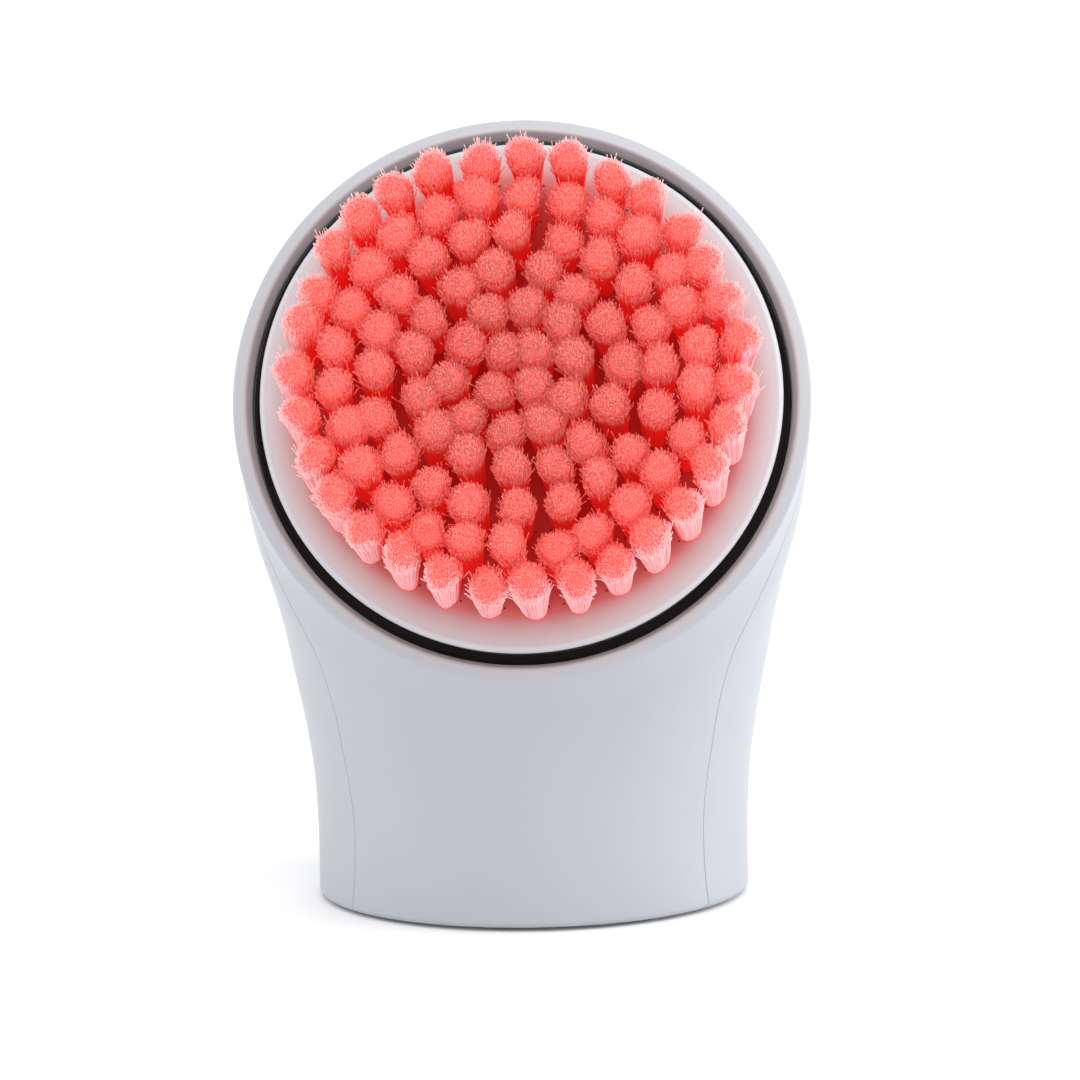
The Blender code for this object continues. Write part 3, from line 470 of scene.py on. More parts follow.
def front_region(name, gap):
    """The space the front shell takes: ahead of the parting line, with the well's skirt and its boss."""
    line = parting_line(gap)
    line += [(-FAR, line[-1][1]), (-FAR, line[0][1])]
    bm = bmesh.new()
    add_rings(bm, [[(x, y, z) for y, z in line] for x in (-FAR, FAR)], False)
    region = put(name, finish_mesh(name, bm))
    skirt = rods(name + "_skirt", [(0, 0)], SKIRT_RADIUS + gap, FLOOR_BACK - SKIRT_DEPTH - gap, 5.0, 96)
    boss = rods(name + "_boss", [(0, 0)], BEARING_BOSS + BOSS_WALL + gap, BEARING_BACK - 1.0 - gap, 5.0)
    carve(region, [put(mesh.name, mesh, HEAD_MATRIX) for mesh in (skirt, boss)], "UNION")
    return region


def add_lip_bounce(piece):
    """Stores 1 at the points of the lip's inner chamfer and 0 elsewhere, the mask of the painted pink bounce
    light in the shell's colour.
    """
    to_head = HEAD_MATRIX.inverted()
    layer = piece.data.attributes.new("lip_bounce", "FLOAT", "POINT")
    values = []
    for vertex in piece.data.vertices:
        place = to_head @ vertex.co / MM
        radius = math.hypot(place.x, place.y)
        share = (LIP_CREST + BOUNCE_EDGE - radius) / BOUNCE_FADE
        values.append(min(max(share, 0.0), 1.0) if place.z > WELL_STEP else 0.0)
    layer.data.foreach_set("value", values)


def make_shells(finishes):
    front = housing_blank("front_shell_skin")
    carve(front, [front_region("front_region", 0.0)], "INTERSECT")
    rear = housing_blank("rear_shell_skin")
    tools = [front_region("rear_region", SEAM)]
    for name, node, radius, sides in (
        ("button_hole", "power_button", BUTTON_HOLE, 64), ("light_hole", "light_pipe", LIGHT_HOLE, 32),
    ):
        low, high = node_box(node)
        tools.append(put(name, rods(name, [(0, -(low[2] + high[2]) / 2)], radius, 15, 30, sides), BACKWARD))
    carve(rear, tools)
    for piece, node in ((front, "front_shell"), (rear, "rear_shell")):
        add_lip_bounce(piece)
        finish_piece(piece, finishes["shell"], "housing", node, 32)


# ---------------------------------------------------------------- brush head

def make_disc(finishes):
    steps = 8
    rounding = [
        (
            PLATE_RADIUS - PLATE_ROUNDING * (1 - math.cos(math.radians(90 * i / steps))),
            PLATE_FRONT - PLATE_ROUNDING * (1 - math.sin(math.radians(90 * i / steps))),
        )
        for i in range(steps + 1)
    ]
    profile = [(PLATE_RADIUS - PLATE_UNDERCUT, PLATE_BACK), *rounding]
    disc = put("brush_disc", turned("brush_disc", profile, 160, loop=False), HEAD_MATRIX)
    holes = prism(
        "tuft_holes", [circle(TUFT_HOLE, 20, 0.0, place) for place in tuft_places()],
        PLATE_BACK - 1.0, PLATE_FRONT + 1.0,
    )
    carve(disc, [put("tuft_holes", holes, HEAD_MATRIX)])
    finish_piece(disc, finishes["disc"], "brush_head", "brush_plate")


def make_gap_shade_ring(finishes):
    """A near-black ring lining the outside of the well: painted shade, standing in for the dark of the deep
    gap round the disc.
    """
    profile = rounded((
        (LINER_FOOT_RADIUS, LINER_BACK), (LINER_RADIUS, LINER_BACK), (LINER_RADIUS, LINER_FRONT),
        (LINER_RADIUS - LINER_LEG, LINER_FRONT), (LINER_RADIUS - LINER_LEG, LINER_BACK + LINER_FOOT),
        (LINER_FOOT_RADIUS, LINER_BACK + LINER_FOOT),
    ), 0.12, 4)
    painted_gap_shade = put("well_shade_ring", turned("well_shade_ring", profile, SKIN_SIDES), HEAD_MATRIX)
    finish_piece(painted_gap_shade, finishes["painted_gap_shade"], "housing", "well_liner", 40)


def tuft_places():
    places = []
    for radius, count, phase in TUFT_RINGS:
        places += circle(radius, count, math.radians(phase))
    return places


def smooth_step(value, low, high):
    t = np.clip((value - low) / (high - low), 0.0, 1.0)
    return t * t * (3.0 - 2.0 * t)


def tuft_radius(level):
    """How far a tuft flares from its root, before its end rounds over."""
    return TUFT_ROOT + (TUFT_END - TUFT_ROOT) * level ** 0.92


def tuft_axis(spot, lean, level):
    """The middle of a tuft at each level, where 0 is the disc and 1 the tip."""
    return spot + lean * np.asarray(level)[..., None] ** 1.6


def tuft_height(level):
    """How high each level of a tuft is in the head frame. A root starts a little below the disc's face."""
    return PLATE_FRONT - TUFT_DEPTH + (TUFT_LENGTH + TUFT_DEPTH) * level


def dye_and_painted_light(level, painted_light_share, frosting):
    """The fibres' colour: coral at the end, with painted shade (deep red) low down where tufts face each
    other and painted light (pale pink) on the sides that face out.
    """
    level = np.asarray(level)[..., None]
    painted_light_share = np.asarray(painted_light_share)[..., None]
    rising = smooth_step(level, 0.58, 0.95)
    colour = PAINTED_SHADE_RED * (1 - rising) + CORAL * rising
    frost = np.asarray(frosting)[..., None] * smooth_step(level, 0.90, 1.0)
    colour = colour * (1 - frost) + FROSTED * frost
    fading = smooth_step(level, 0.7, 0.9)
    pale = PAINTED_LIGHT_PINK * (1 - fading) + PAINTED_LIGHT_END * fading
    return colour * (1 - painted_light_share) + pale * painted_light_share


def outline_of(angle, bumps):
    """How far a tuft's section bulges each way, as a share of its mean radius."""
    oval, oval_turn, lobe, lobe_turn = bumps
    return 1 + oval * np.cos(2 * angle + oval_turn) + lobe * np.cos(3 * angle + lobe_turn)


def painted_light_side(spot, direction):
    """The share of painted light: 1 on the side of an outermost tuft that faces away from the head's middle,
    0 between tufts.
    """
    radius = np.hypot(*spot)
    facing = direction @ (spot / radius)
    edge = smooth_step(radius, 17.0, 19.0)
    return smooth_step(facing, -0.5, 0.4) * edge


class Strands:
    """Collects rings of points that are skinned into one mesh, with a colour at each point."""

    def __init__(self):
        self.points, self.faces, self.colours, self.base = [], [], [], 0

    def add(self, block, colour):
        """block is (strand, level, side, xyz) and colour matches it."""
        count, steps, sides, _ = block.shape
        index = self.base + np.arange(count * steps * sides).reshape(count, steps, sides)
        lower, upper = index[:, :-1], index[:, 1:]
        quads = np.stack([lower, np.roll(lower, -1, 2), np.roll(upper, -1, 2), upper], axis=-1)
        self.faces.append(quads.reshape(-1, 4))
        self.points.append(block.reshape(-1, 3))
        self.colours.append(colour.reshape(-1, 3))
        self.base += count * steps * sides

    def mesh(self, name):
        points = (np.concatenate(self.points) * MM).astype(np.float32)
        faces = np.concatenate(self.faces).astype(np.int32)
        colours = np.concatenate(self.colours).astype(np.float32)
        mesh = bpy.data.meshes.new(name)
        mesh.vertices.add(len(points))
        mesh.vertices.foreach_set("co", points.reshape(-1))
        mesh.loops.add(faces.size)
        mesh.loops.foreach_set("vertex_index", faces.reshape(-1))
        mesh.polygons.add(len(faces))
        mesh.polygons.foreach_set("loop_start", np.arange(0, faces.size, 4, dtype=np.int32))
        mesh.update(calc_edges=True)
        # Each point's colour holds painted shade and painted light besides the fibres' coral
        layer = mesh.color_attributes.new("dye_and_painted_light", "FLOAT_COLOR", "POINT")
        rgba = np.concatenate([colours, np.ones((len(colours), 1), np.float32)], axis=1)
        layer.data.foreach_set("color", rgba.reshape(-1))
        return mesh


def add_core(strands, rng, spot, lean, scale, bumps, outer_tuft_light):
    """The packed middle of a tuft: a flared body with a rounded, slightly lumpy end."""
    sides = 22
    levels = np.array([0.0, 0.056, 0.06, 0.2, 0.4, 0.6, 0.74, 0.82, 0.875, 0.915, 0.945, 0.96])
    closing = np.array([1.0, 1.24, 1.05, 1.02, 1.0, 1.0, 1.0, 0.98, 0.92, 0.78, 0.5, 0.02])
    angle = 2 * math.pi * np.arange(sides) / sides
    direction = np.stack([np.cos(angle), np.sin(angle)], axis=1)
    radius = (tuft_radius(levels) * CORE_SHARE * closing * scale)[:, None] * outline_of(angle, bumps)[None, :]
    radius = radius * (1 + rng.normal(0, 0.02, radius.shape) * smooth_step(levels, 0.1, 0.5)[:, None])
    block = np.zeros((1, len(levels), sides, 3))
    block[0, :, :, :2] = tuft_axis(spot, lean, levels)[:, None, :] + direction[None] * radius[:, :, None]
    block[0, :, :, 2] = tuft_height(levels)[:, None]
    # The core's colour is taken at a lower level, as painted shade, with painted light on an outer tuft's
    # outward side
    open_side = smooth_step(levels, 0.057, 0.06) * smooth_step(-levels, -0.9, -0.8)
    core_painted_light = painted_light_side(spot, direction)[None, :] * open_side[:, None]
    colour = dye_and_painted_light(np.broadcast_to(levels[:, None] * 0.86, (len(levels), sides)), core_painted_light, 0.0) * outer_tuft_light
    strands.add(block, colour[None])


def add_filaments(strands, rng, spot, lean, scale, bumps, outer_tuft_light, levels, reach):
    """Tapered three-sided filaments of one tuft, at the given share of its radius from its middle."""
    sides = 3
    count = len(reach)
    angle = rng.uniform(0.0, 2 * math.pi, count)
    direction = np.stack([np.cos(angle), np.sin(angle)], axis=1)
    dome = 1.0 - 0.14 * reach**2.4
    stretch = dome + rng.normal(0.0, 0.018, count)
    stray = rng.normal(0.0, 1.0, (count, 2)) * rng.choice((0.09, 0.28), (count, 1), p=(0.8, 0.2))
    along = levels[None, :] * stretch[:, None]
    flare = 1.0 + 0.04 * smooth_step(levels, 0.8, 1.0)[None, :]
    spread = scale * reach * outline_of(angle, bumps)
    radius = tuft_radius(np.clip(along, 0.0, 1.2)) * spread[:, None] * flare
    middle = tuft_axis(spot, lean, along)
    ends = smooth_step(levels, 0.6, 1.0)[None, :, None] * stray[:, None, :]
    centre = middle + direction[:, None, :] * radius[:, :, None] + ends
    height = tuft_height(along)
    width = FILAMENT_RADIUS * np.append(np.ones(len(levels) - 1), 0.2)
    turn = rng.uniform(0, 2 * math.pi, count)
    block = np.zeros((count, len(levels), sides, 3))
    for side in range(sides):
        around = turn + 2 * math.pi * side / sides
        block[:, :, side, 0] = centre[:, :, 0] + np.cos(around)[:, None] * width[None, :]
        block[:, :, side, 1] = centre[:, :, 1] + np.sin(around)[:, None] * width[None, :]
        block[:, :, side, 2] = height
    # Painted light on an outer tuft's outward side
    painted_light_share = painted_light_side(spot, direction) * smooth_step(reach, 0.3, 0.88)
    # Outer tufts painted lighter, with a random tone for each filament
    tone = outer_tuft_light + rng.normal(0.0, 0.06, count)
    # Filaments at a tuft's edge take a lower level's colour: painted shade on their ends
    edge_shaded_level = levels[None, :] * (1.0 - 0.1 * smooth_step(reach, 0.6, 1.0))[:, None]
    colour = dye_and_painted_light(edge_shaded_level, painted_light_share[:, None], rng.uniform(0.1, 0.9, (count, 1))) * tone[:, None, None]
    strands.add(block, np.repeat(colour[:, :, None, :], sides, axis=2))


def add_tuft(strands, rng, spot):
    """One tuft: its packed middle, the filaments of its end, and the loose ones down its side."""
    spot = np.array(spot)
    lean = rng.normal(0.0, TUFT_LEAN, 2)
    scale = rng.uniform(0.9, 1.07)
    bumps = (rng.uniform(0.02, 0.13), rng.uniform(0, 6.28), rng.uniform(0.02, 0.08), rng.uniform(0, 6.28))
    # Painted light: tufts towards the rim are painted up to a tenth lighter than those in the middle
    outer_tuft_light = 0.96 + 0.1 * smooth_step(np.hypot(*spot), 5.0, 19.0)
    add_core(strands, rng, spot, lean, scale, bumps, outer_tuft_light)
    tip_reach = np.sqrt(rng.uniform(0.0, 1.0, TIP_FILAMENTS))
    add_filaments(strands, rng, spot, lean, scale, bumps, outer_tuft_light, TIP_LEVELS, tip_reach)
    side_reach = rng.uniform(0.86, 1.04, SIDE_FILAMENTS)
    add_filaments(strands, rng, spot, lean, scale, bumps, outer_tuft_light, SIDE_LEVELS, side_reach)


def make_root_dots(finishes):
    """Two small dark-red dots just showing beside each tuft's root."""
    outlines = []
    for x, y in tuft_places():
        radius = math.hypot(x, y)
        for side in (-1, 1):
            centre = (x - side * y / radius * ROOT_DOT_REACH, y + side * x / radius * ROOT_DOT_REACH)
            outlines.append(circle(ROOT_DOT_RADIUS, 10, 0.0, centre))
    mesh = prism("tuft_root_dots", outlines, PLATE_FRONT - 0.3, PLATE_FRONT + 0.03)
    root_dots_piece = put("tuft_root_dots", mesh, HEAD_MATRIX)
    finish_piece(root_dots_piece, finishes["root_dots"], "brush_head", "brush_plate")


def make_bristles(finishes):
    rng = np.random.default_rng(7)
    places = tuft_places()
    for number, start in enumerate(range(0, len(places), TUFTS_PER_PIECE), 1):
        name = f"tuft_group_{number}"
        strands = Strands()
        for spot in places[start:start + TUFTS_PER_PIECE]:
            add_tuft(strands, rng, spot)
        group = put(name, strands.mesh(name), HEAD_MATRIX)
        finish_piece(group, finishes["bristle"], "brush_head", "bristle_tufts", 180)
    top = PLATE_BACK - 0.1
    profile = rounded(((0.5, MAT_BACK), (MAT_RADIUS, MAT_BACK), (MAT_RADIUS, top), (0.5, top)), 0.15)
    mat = put("tuft_mat", turned("tuft_mat", profile, 96, loop=False), HEAD_MATRIX)
    finish_piece(mat, finishes["mat"], "brush_head", "bristle_tufts")


def make_hub(finishes):
    """The cap behind the bristles, with the socket that the drive hexagon enters."""
    corners = (
        (MAT_RADIUS + 0.3, HUB_RIM), (CAP_RADIUS, HUB_RIM), (CAP_RADIUS, CAP_BACK), (HUB_RADIUS, CAP_BACK),
        (HUB_RADIUS, HUB_BACK), (1.0, HUB_BACK), (1.0, MAT_BACK - 0.3), (MAT_RADIUS + 0.3, MAT_BACK - 0.3),
    )
    profile = rounded(corners, 0.2, 4)
    hub = put("brush_hub_cap", turned("brush_hub_cap", profile, 128), HEAD_MATRIX)
    socket = rods("hub_socket", [(0, 0)], SOCKET_RADIUS, -12.0, FLOOR_FRONT + 0.7, 6)
    carve(hub, [put("hub_socket", socket, HEAD_MATRIX)])
    finish_piece(hub, finishes["disc_back"], "brush_head", "brush_hub")


# ---------------------------------------------------------------- rear controls and base

def make_button(finishes):
    """The silicone power button: a rounded cap with a shallow dish, on its flange."""
    low, high = node_box("power_button")
    height = high[1] - low[1]
    flange = (high[0] - low[0]) / 2
    cap = flange - BUTTON_LEDGE
    face = rounded(((cap, 0.75), (cap, height), (cap - 1.2, height), (0.3, height - BUTTON_DISH)), 0.5, 6)
    profile = [(flange - 0.05, 0.05), (flange - 0.05, 0.65), *face]
    place = Matrix.Translation((0.0, low[1] * MM, (low[2] + high[2]) / 2 * MM)) @ BACKWARD
    button = put("button_cap", turned("button_cap", profile, 128, loop=False), place)
    finish_piece(button, finishes["button"], "button", "power_button")


def make_light(finishes):
    """The light pipe, with a slightly domed end."""
    low, high = node_box("light_pipe")
    length = high[1] - low[1]
    radius = (high[0] - low[0]) / 2
    dome = rounded(((radius, 0.0), (radius, length - 0.1), (radius * 0.4, length), (0.05, length)), 0.4, 6)
    place = Matrix.Translation((0.0, low[1] * MM, (low[2] + high[2]) / 2 * MM)) @ BACKWARD
    pipe = put("light_lens", turned("light_lens", dome, 64, loop=False), place)
    finish_piece(pipe, finishes["lens"], "housing", "light_pipe")


def make_base_plate(finishes):
    """The plate under the housing, with its counterbored screw holes and the contact holes."""
    low, high = node_box("base_plate")
    half_x, half_y, top = high
    rings = []
    for i in range(EDGE_STEPS + 1):
        turn = math.radians(90 * i / EDGE_STEPS)
        inset = PLATE_EDGE * (1 - math.sin(turn))
        outline = ellipse(half_x - inset, half_y - inset, SKIN_SIDES)
        rings.append(flat_ring(outline, PLATE_EDGE * (1 - math.cos(turn))))
    rings.append(flat_ring(ellipse(half_x, half_y, SKIN_SIDES), top))
    plate = put("base_plate_skin", ring_mesh("base_plate_skin", rings))
    names = [entry["node"] for entry in frame["record"]["subparts"]]
    heads = [name for name in names if name.startswith("base_screw")]
    pins = [name for name in names if name.startswith("charging_contact")]
    tools = []
    for node in heads:
        x, y, radius = footprint(node)
        bore = rods(node + "_bore", [(x, y)], radius + 0.2, -1.0, COUNTERBORE_DEPTH, 48)
        hole = rods(node + "_hole", [(x, y)], SHANK_RADIUS + 0.3, -1.0, 4.0, 32)
        tools += [put(bore.name, bore), put(hole.name, hole)]
    for node in pins:
        x, y, radius = footprint(node)
        tools.append(put(node + "_hole", rods(node + "_hole", [(x, y)], radius + 0.3, -1.0, 4.0, 48)))
    carve(plate, tools)
    finish_piece(plate, finishes["shell"], "housing", "base_plate")
    for node in heads:
        make_base_screw(finishes, node)
    for node in pins:
        make_contact(finishes, node)


def footprint(node):
    """The middle and the radius of a round upright node."""
    low, high = node_box(node)
    return (low[0] + high[0]) / 2, (low[1] + high[1]) / 2, (high[0] - low[0]) / 2


def make_base_screw(finishes, node):
    """A pan-head screw, head down, with a cross recess and a rolled thread."""
    x, y, radius = footprint(node)
    low, high = node_box(node)
    length = high[2] - low[2]
    head = rounded(((0.2, 0.0), (radius, 0.0), (radius, SCREW_HEAD), (SHANK_RADIUS, SCREW_HEAD)), 0.35, 5)
    thread = []
    height = SCREW_HEAD + 0.4
    while height < length - 0.8:
        thread += [(THREAD_ROOT, height), (SHANK_RADIUS, height + THREAD_PITCH / 2)]
        height += THREAD_PITCH
    profile = [*head, *thread, (THREAD_ROOT, height), (0.15, length)]
    place = Matrix.Translation((x * MM, y * MM, low[2] * MM))
    screw = put(node + "_turned", turned(node + "_turned", profile, 48, loop=False), place)
    slots = []
    for turn in (0.0, 90.0):
        arm = prism(node + "_slot", [[(-0.8, -0.16), (0.8, -0.16), (0.8, 0.16), (-0.8, 0.16)]], -0.5, 0.5)
        slots.append(put(node + "_slot", arm, place @ Matrix.Rotation(math.radians(turn), 4, "Z")))
    carve(screw, slots)
    finish_piece(screw, finishes["steel"], "housing", node)


def make_contact(finishes, node):
    """A gold-flashed charging pin with a dimple in its face."""
    x, y, radius = footprint(node)
    low, high = node_box(node)
    length = high[2] - low[2]
    face = rounded(((0.1, 0.12), (radius * 0.55, 0.0), (radius, 0.0), (radius, length)), 0.3, 6)
    pin = put(node + "_pin", turned(node + "_pin", face, 64, loop=False))
    pin.matrix_world = Matrix.Translation((x * MM, y * MM, low[2] * MM))
    finish_piece(pin, finishes["brass"], "housing", node)


# ---------------------------------------------------------------- materials

class Nodes:
    """A short way to write a node tree."""

    def __init__(self, name, roughness=0.5, metallic=0.0):
        self.material = bpy.data.materials.new(name)
        self.material.use_nodes = True
        self.tree = self.material.node_tree
        self.shader = self.tree.nodes["Principled BSDF"]
        self.shader.inputs["Roughness"].default_value = roughness
        self.shader.inputs["Metallic"].default_value = metallic

    def add(self, kind, settings=None, **inputs):
        node = self.tree.nodes.new(kind)
        for key, value in (settings or {}).items():
            setattr(node, key, value)
        for key, value in inputs.items():
            socket = node.inputs[key.replace("_", " ")]
            if isinstance(value, bpy.types.NodeSocket):
                self.tree.links.new(value, socket)
            else:
                socket.default_value = value
        return node

    def link(self, output, name):
        self.tree.links.new(output, self.shader.inputs[name])

    def place(self):
        return self.add("ShaderNodeTexCoord").outputs["Object"]

    def noise(self, scale, detail=2.0, roughness=0.5):
        return self.add(
            "ShaderNodeTexNoise", None, Vector=self.place(), Scale=scale, Detail=detail, Roughness=roughness
        ).outputs["Fac"]

    def ramp(self, fac, stops):
        node = self.add("ShaderNodeValToRGB", None, Fac=fac)
        ramp = node.color_ramp
        while len(ramp.elements) < len(stops):
            ramp.elements.new(0.5)
        for element, (position, colour) in zip(ramp.elements, stops):
            element.position = position
            element.color = (*colour, 1.0)
        return node.outputs["Color"]

    def span(self, fac, low, high):
        return self.add(
            "ShaderNodeMapRange", None, Value=fac, **{"To_Min": low, "To_Max": high}
        ).outputs["Result"]

    def bump(self, height, distance, strength=1.0):
        node = self.add("ShaderNodeBump", None, Height=height, Distance=distance, Strength=strength)
        self.link(node.outputs["Normal"], "Normal")


def plastic(
    name, colour, roughness, grain=GRAIN_DEPTH, grain_scale=GRAIN_SCALE, mottle=0.02, sheen=0.0, gloss=0.5
):
    """Moulded plastic: a faint tone variation, and the fine grain of a spark-eroded mould."""
    nodes = Nodes(name, roughness)
    tone = nodes.noise(MOTTLE_SCALE, 3.0)
    darker = tuple(c * (1 - mottle) for c in colour)
    nodes.link(nodes.ramp(tone, ((0.3, darker), (0.7, colour))), "Base Color")
    fine = nodes.noise(grain_scale, 2.0)
    nodes.link(nodes.span(tone, roughness - 0.03, roughness + 0.03), "Roughness")
    nodes.bump(fine, grain * MM, 0.5)
    nodes.shader.inputs["Sheen Weight"].default_value = sheen
    nodes.shader.inputs["Specular IOR Level"].default_value = gloss
    return nodes.material


def metal(name, colour, roughness, stretch=(1.0, 1.0, 30.0)):
    """Turned or drawn metal: fine lines in the roughness and a little tarnish."""
    nodes = Nodes(name, roughness, 1.0)
    mapping = nodes.add("ShaderNodeMapping", None, Vector=nodes.place(), Scale=stretch)
    lines = nodes.add("ShaderNodeTexNoise", None, Vector=mapping.outputs["Vector"], Scale=400.0, Detail=3.0)
    nodes.link(nodes.span(lines.outputs["Fac"], roughness - 0.08, roughness + 0.12), "Roughness")
    tarnish = nodes.noise(250.0, 4.0)
    dull = tuple(c * 0.82 for c in colour)
    nodes.link(nodes.ramp(tarnish, ((0.35, dull), (0.65, colour))), "Base Color")
    nodes.bump(lines.outputs["Fac"], GRAIN_DEPTH * MM, 0.4)
    return nodes.material


def bristle_material():
    """Fine dyed filaments that let some light through, with a painted glow though they are no lamp. The
    colour kept on the mesh, fibre by fibre, holds painted shade and painted light besides the coral.
    """
    nodes = Nodes("bristle_filaments", 0.6)
    colour = nodes.add("ShaderNodeAttribute", {"attribute_name": "dye_and_painted_light"}).outputs["Color"]
    lift = nodes.span(nodes.noise(2600.0, 2.0), 0.86, 1.14)
    shaded = nodes.add("ShaderNodeVectorMath", {"operation": "SCALE"}, Scale=lift)
    nodes.tree.links.new(colour, shaded.inputs[0])
    nodes.link(shaded.outputs["Vector"], "Base Color")
    nodes.shader.inputs["Specular IOR Level"].default_value = 0.3
    # Painted glow: the fibres give off light in their own colour
    nodes.link(shaded.outputs["Vector"], "Emission Color")
    nodes.shader.inputs["Emission Strength"].default_value = PAINTED_GLOW
    translucent = nodes.add("ShaderNodeBsdfTranslucent", None, Color=shaded.outputs["Vector"])
    mix = nodes.add("ShaderNodeMixShader", None, Fac=0.3)
    nodes.tree.links.new(nodes.shader.outputs["BSDF"], mix.inputs[1])
    nodes.tree.links.new(translucent.outputs["BSDF"], mix.inputs[2])
    output = nodes.tree.nodes["Material Output"]
    nodes.tree.links.new(mix.outputs["Shader"], output.inputs["Surface"])
    return nodes.material


def disc_plastic():
    """The disc's plastic, with painted pink bounce light and painted shade among the tufts, and plain white
    at its rim.
    """
    nodes = Nodes("disc_satin_white", 0.4)
    flat = nodes.add("ShaderNodeVectorMath", {"operation": "MULTIPLY"})
    nodes.tree.links.new(nodes.place(), flat.inputs[0])
    flat.inputs[1].default_value = (1.0, 1.0, 0.0)
    radius = nodes.add("ShaderNodeVectorMath", {"operation": "LENGTH"})
    nodes.tree.links.new(flat.outputs["Vector"], radius.inputs[0])
    across = nodes.add("ShaderNodeMapRange", None, Value=radius.outputs["Value"])
    across.inputs["From Min"].default_value = DISC_BOUNCE_START * MM
    across.inputs["From Max"].default_value = PLATE_RADIUS * MM
    # Painted pink bounce light and painted shade, by distance from the disc's middle
    nodes.link(nodes.ramp(across.outputs["Result"], DISC_BOUNCE_AND_SHADE), "Base Color")
    nodes.link(nodes.span(nodes.noise(MOTTLE_SCALE, 3.0), *SATIN), "Roughness")
    nodes.bump(nodes.noise(GRAIN_SCALE), GRAIN_DEPTH * MM, 0.5)
    return nodes.material


def shell_plastic():
    """The housing's plastic: cool satin white, with painted pink bounce light from the bristles on the lip's
    chamfer that faces them.
    """
    nodes = Nodes("shell_satin_white", 0.4)
    tone = nodes.noise(MOTTLE_SCALE, 3.0)
    cool = nodes.ramp(tone, ((0.3, tuple(c * 0.98 for c in SHELL_WHITE)), (0.7, SHELL_WHITE)))
    # Mask of the painted pink bounce light on the lip
    lip_bounce = nodes.add("ShaderNodeAttribute", {"attribute_name": "lip_bounce"}).outputs["Fac"]
    mix = nodes.add("ShaderNodeMix", {"data_type": "RGBA"})
    nodes.tree.links.new(lip_bounce, mix.inputs["Factor"])
    nodes.tree.links.new(cool, mix.inputs[6])
    mix.inputs[7].default_value = (*LIP_BOUNCE_PINK, 1.0)
    nodes.link(mix.outputs[2], "Base Color")
    nodes.link(nodes.span(tone, *SATIN), "Roughness")
    nodes.bump(nodes.noise(GRAIN_SCALE), GRAIN_DEPTH * MM, 0.5)
    return nodes.material


def make_finishes():
    return {
        "shell": shell_plastic(),
        "disc": disc_plastic(),
        "disc_back": plastic("disc_satin_back", DISC_WHITE, 0.4),
        # Small dark-red dots beside the tufts' roots
        "root_dots": plastic("dark_root_dots", (0.16, 0.016, 0.014), 0.5, mottle=0.3),
        "bristle": bristle_material(),
        "mat": plastic("fused_mat", (0.62, 0.10, 0.08), 0.55, grain=0.02, grain_scale=2500.0, mottle=0.25),
        "grey": plastic("moulded_grey", (0.28, 0.29, 0.31), 0.5, grain=0.006),
        "gear": plastic("acetal", (0.80, 0.78, 0.72), 0.42, grain=0.003),
        "steel": metal("turned_steel", (0.66, 0.67, 0.69), 0.28),
        "can": metal("plated_can", (0.58, 0.59, 0.61), 0.34),
        "bronze": metal("sintered_bronze", (0.58, 0.40, 0.20), 0.42, (1.0, 1.0, 1.0)),
        "brass": metal("gold_flash", (0.86, 0.66, 0.32), 0.22, (1.0, 1.0, 1.0)),
        # Near-black: painted shade for the gap round the disc
        "painted_gap_shade": plastic("gap_shade_black", (0.034, 0.025, 0.024), 0.85, grain=0.01, mottle=0.2, gloss=0.1),
        "seal": plastic("seal_rubber", (0.028, 0.026, 0.026), 0.65, grain=0.01, mottle=0.2),
        "button": plastic("button_silicone", (0.46, 0.48, 0.52), 0.55, grain=0.008, sheen=0.2),
        "board": plastic("solder_mask", (0.02, 0.16, 0.07), 0.38, grain=0.006, mottle=0.3),
        "cell": plastic("cell_wrap", (0.06, 0.16, 0.42), 0.3, grain=0.004, mottle=0.15),
        "lens": plastic("lens_frosted", (0.86, 0.88, 0.89), 0.22, grain=0.002),
        "red": plastic("wire_red", (0.62, 0.04, 0.03), 0.45, mottle=0.1),
        "black": plastic("wire_black", (0.02, 0.02, 0.02), 0.45, mottle=0.1),
    }


CAD_FINISHES = {
    "shell_white": "shell", "disc_white": "disc_back", "bristle_coral": "mat", "grey_plastic": "grey",
    "gear_plastic": "gear", "turned_steel": "steel", "motor_steel": "can", "bush_bronze": "bronze",
    "contact_brass": "brass", "seal_rubber": "seal", "button_silicone": "button", "board_green": "board",
    "cell_wrap": "cell", "lens_clear": "lens", "wire_red": "red", "wire_black": "black",
}


def dress_cad_nodes(finishes):
    """Gives every node that stays its procedural material."""
    slots = {entry["node"]: entry["material_slot"] for entry in frame["record"]["subparts"]}
    for node, slot in slots.items():
        item = bpy.data.objects[node]
        finish = finishes[CAD_FINISHES[slot]]
        if not item.material_slots:
            item.data.materials.append(finish)
        for place in item.material_slots:
            place.material = finish


# ---------------------------------------------------------------- stage

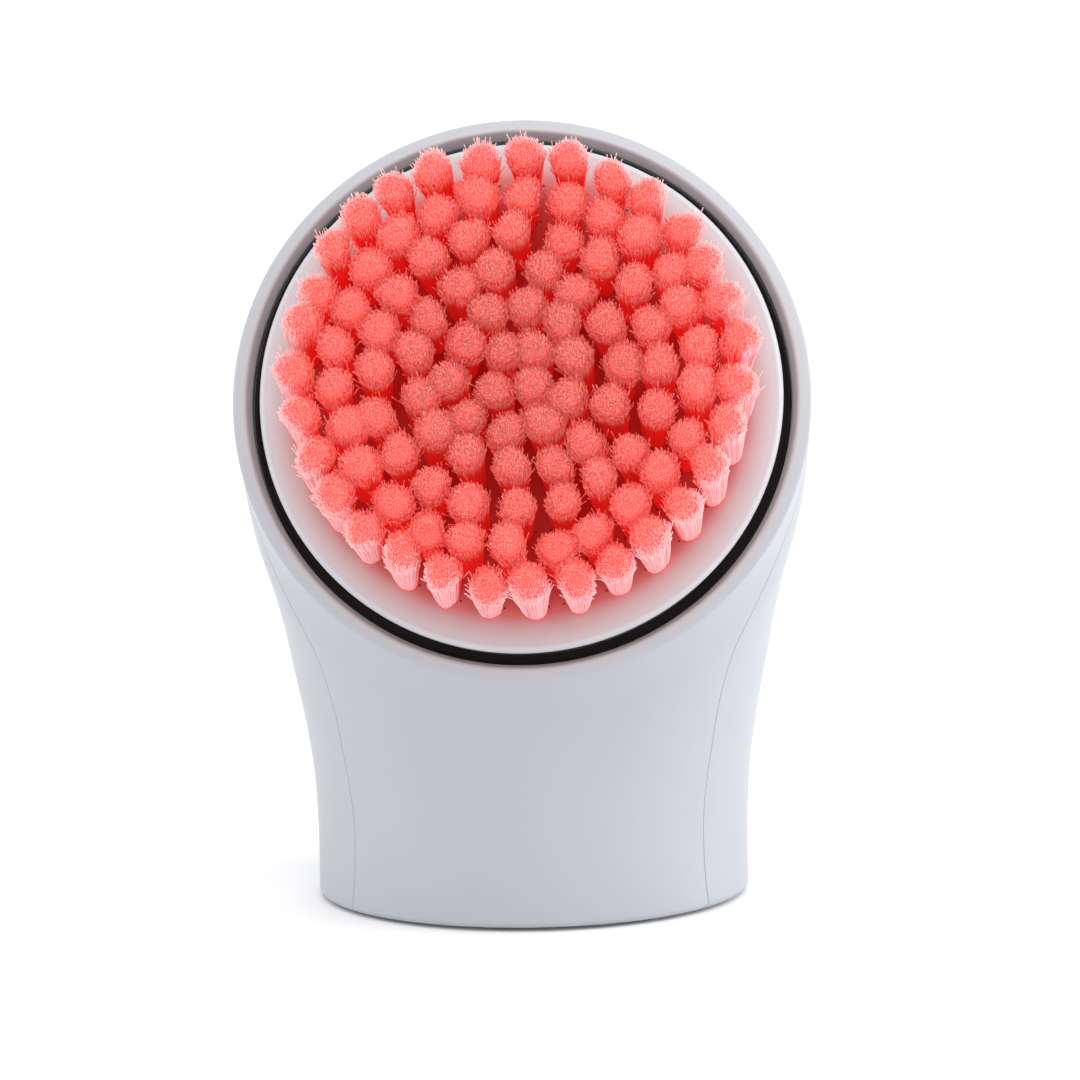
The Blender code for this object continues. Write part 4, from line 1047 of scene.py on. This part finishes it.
def area_light(name, location, target, size, power):
    data = bpy.data.lights.new(name, "AREA")
    data.shape = "RECTANGLE"
    data.size, data.size_y = size
    data.energy = power
    lamp = bpy.data.objects.new(name, data)
    bpy.context.scene.collection.objects.link(lamp)
    lamp.location = location
    direction = Vector(target) - Vector(location)
    lamp.rotation_euler = direction.to_track_quat("-Z", "Y").to_euler()


def make_stage():
    bm = bmesh.new()
    bmesh.ops.create_grid(bm, x_segments=2, y_segments=2, size=2.5)
    floor = put("floor", finish_mesh("floor", bm))
    nodes = Nodes("floor_paper", 0.9)
    tone = nodes.noise(3.0, 2.0)
    nodes.link(nodes.ramp(tone, ((0.3, (0.93, 0.93, 0.935)), (0.7, (0.95, 0.95, 0.955)))), "Base Color")
    floor.data.materials.append(nodes.material)

    world = bpy.data.worlds.new("studio")
    bpy.context.scene.world = world
    world.use_nodes = True
    world.node_tree.nodes["Background"].inputs["Color"].default_value = (1.0, 1.0, 1.0, 1.0)
    world.node_tree.nodes["Background"].inputs["Strength"].default_value = WORLD_STRENGTH
    for light in LIGHTS:
        area_light(*light)
    bpy.context.scene.view_settings.view_transform = "Standard"


def make_camera():
    elevation = math.radians(CAMERA_ELEVATION)
    turn = Matrix.Rotation(math.radians(CAMERA_TURN), 4, "Z")
    data = bpy.data.cameras.new("camera")
    data.lens = CAMERA_LENS
    data.sensor_width = 36.0
    data.shift_x, data.shift_y = CAMERA_SHIFT
    data.clip_start = 0.01
    data.clip_end = 20.0
    camera = bpy.data.objects.new("camera", data)
    bpy.context.scene.collection.objects.link(camera)
    back = Vector((0.0, -math.cos(elevation), math.sin(elevation))) * CAMERA_DISTANCE
    place = Matrix.Translation(Vector((0.0, 0.0, CAMERA_HEIGHT)) + back)
    tilt = Matrix.Rotation(math.radians(90) - elevation, 4, "X")
    roll = Matrix.Rotation(math.radians(CAMERA_ROLL), 4, "Z")
    camera.matrix_world = turn @ place @ tilt @ roll
    bpy.context.scene.camera = camera


def main():
    make_camera()
    make_stage()
    finishes = make_finishes()
    dress_cad_nodes(finishes)
    make_shells(finishes)
    make_gap_shade_ring(finishes)
    make_disc(finishes)
    make_root_dots(finishes)
    make_bristles(finishes)
    make_hub(finishes)
    make_button(finishes)
    make_light(finishes)
    make_base_plate(finishes)


main()
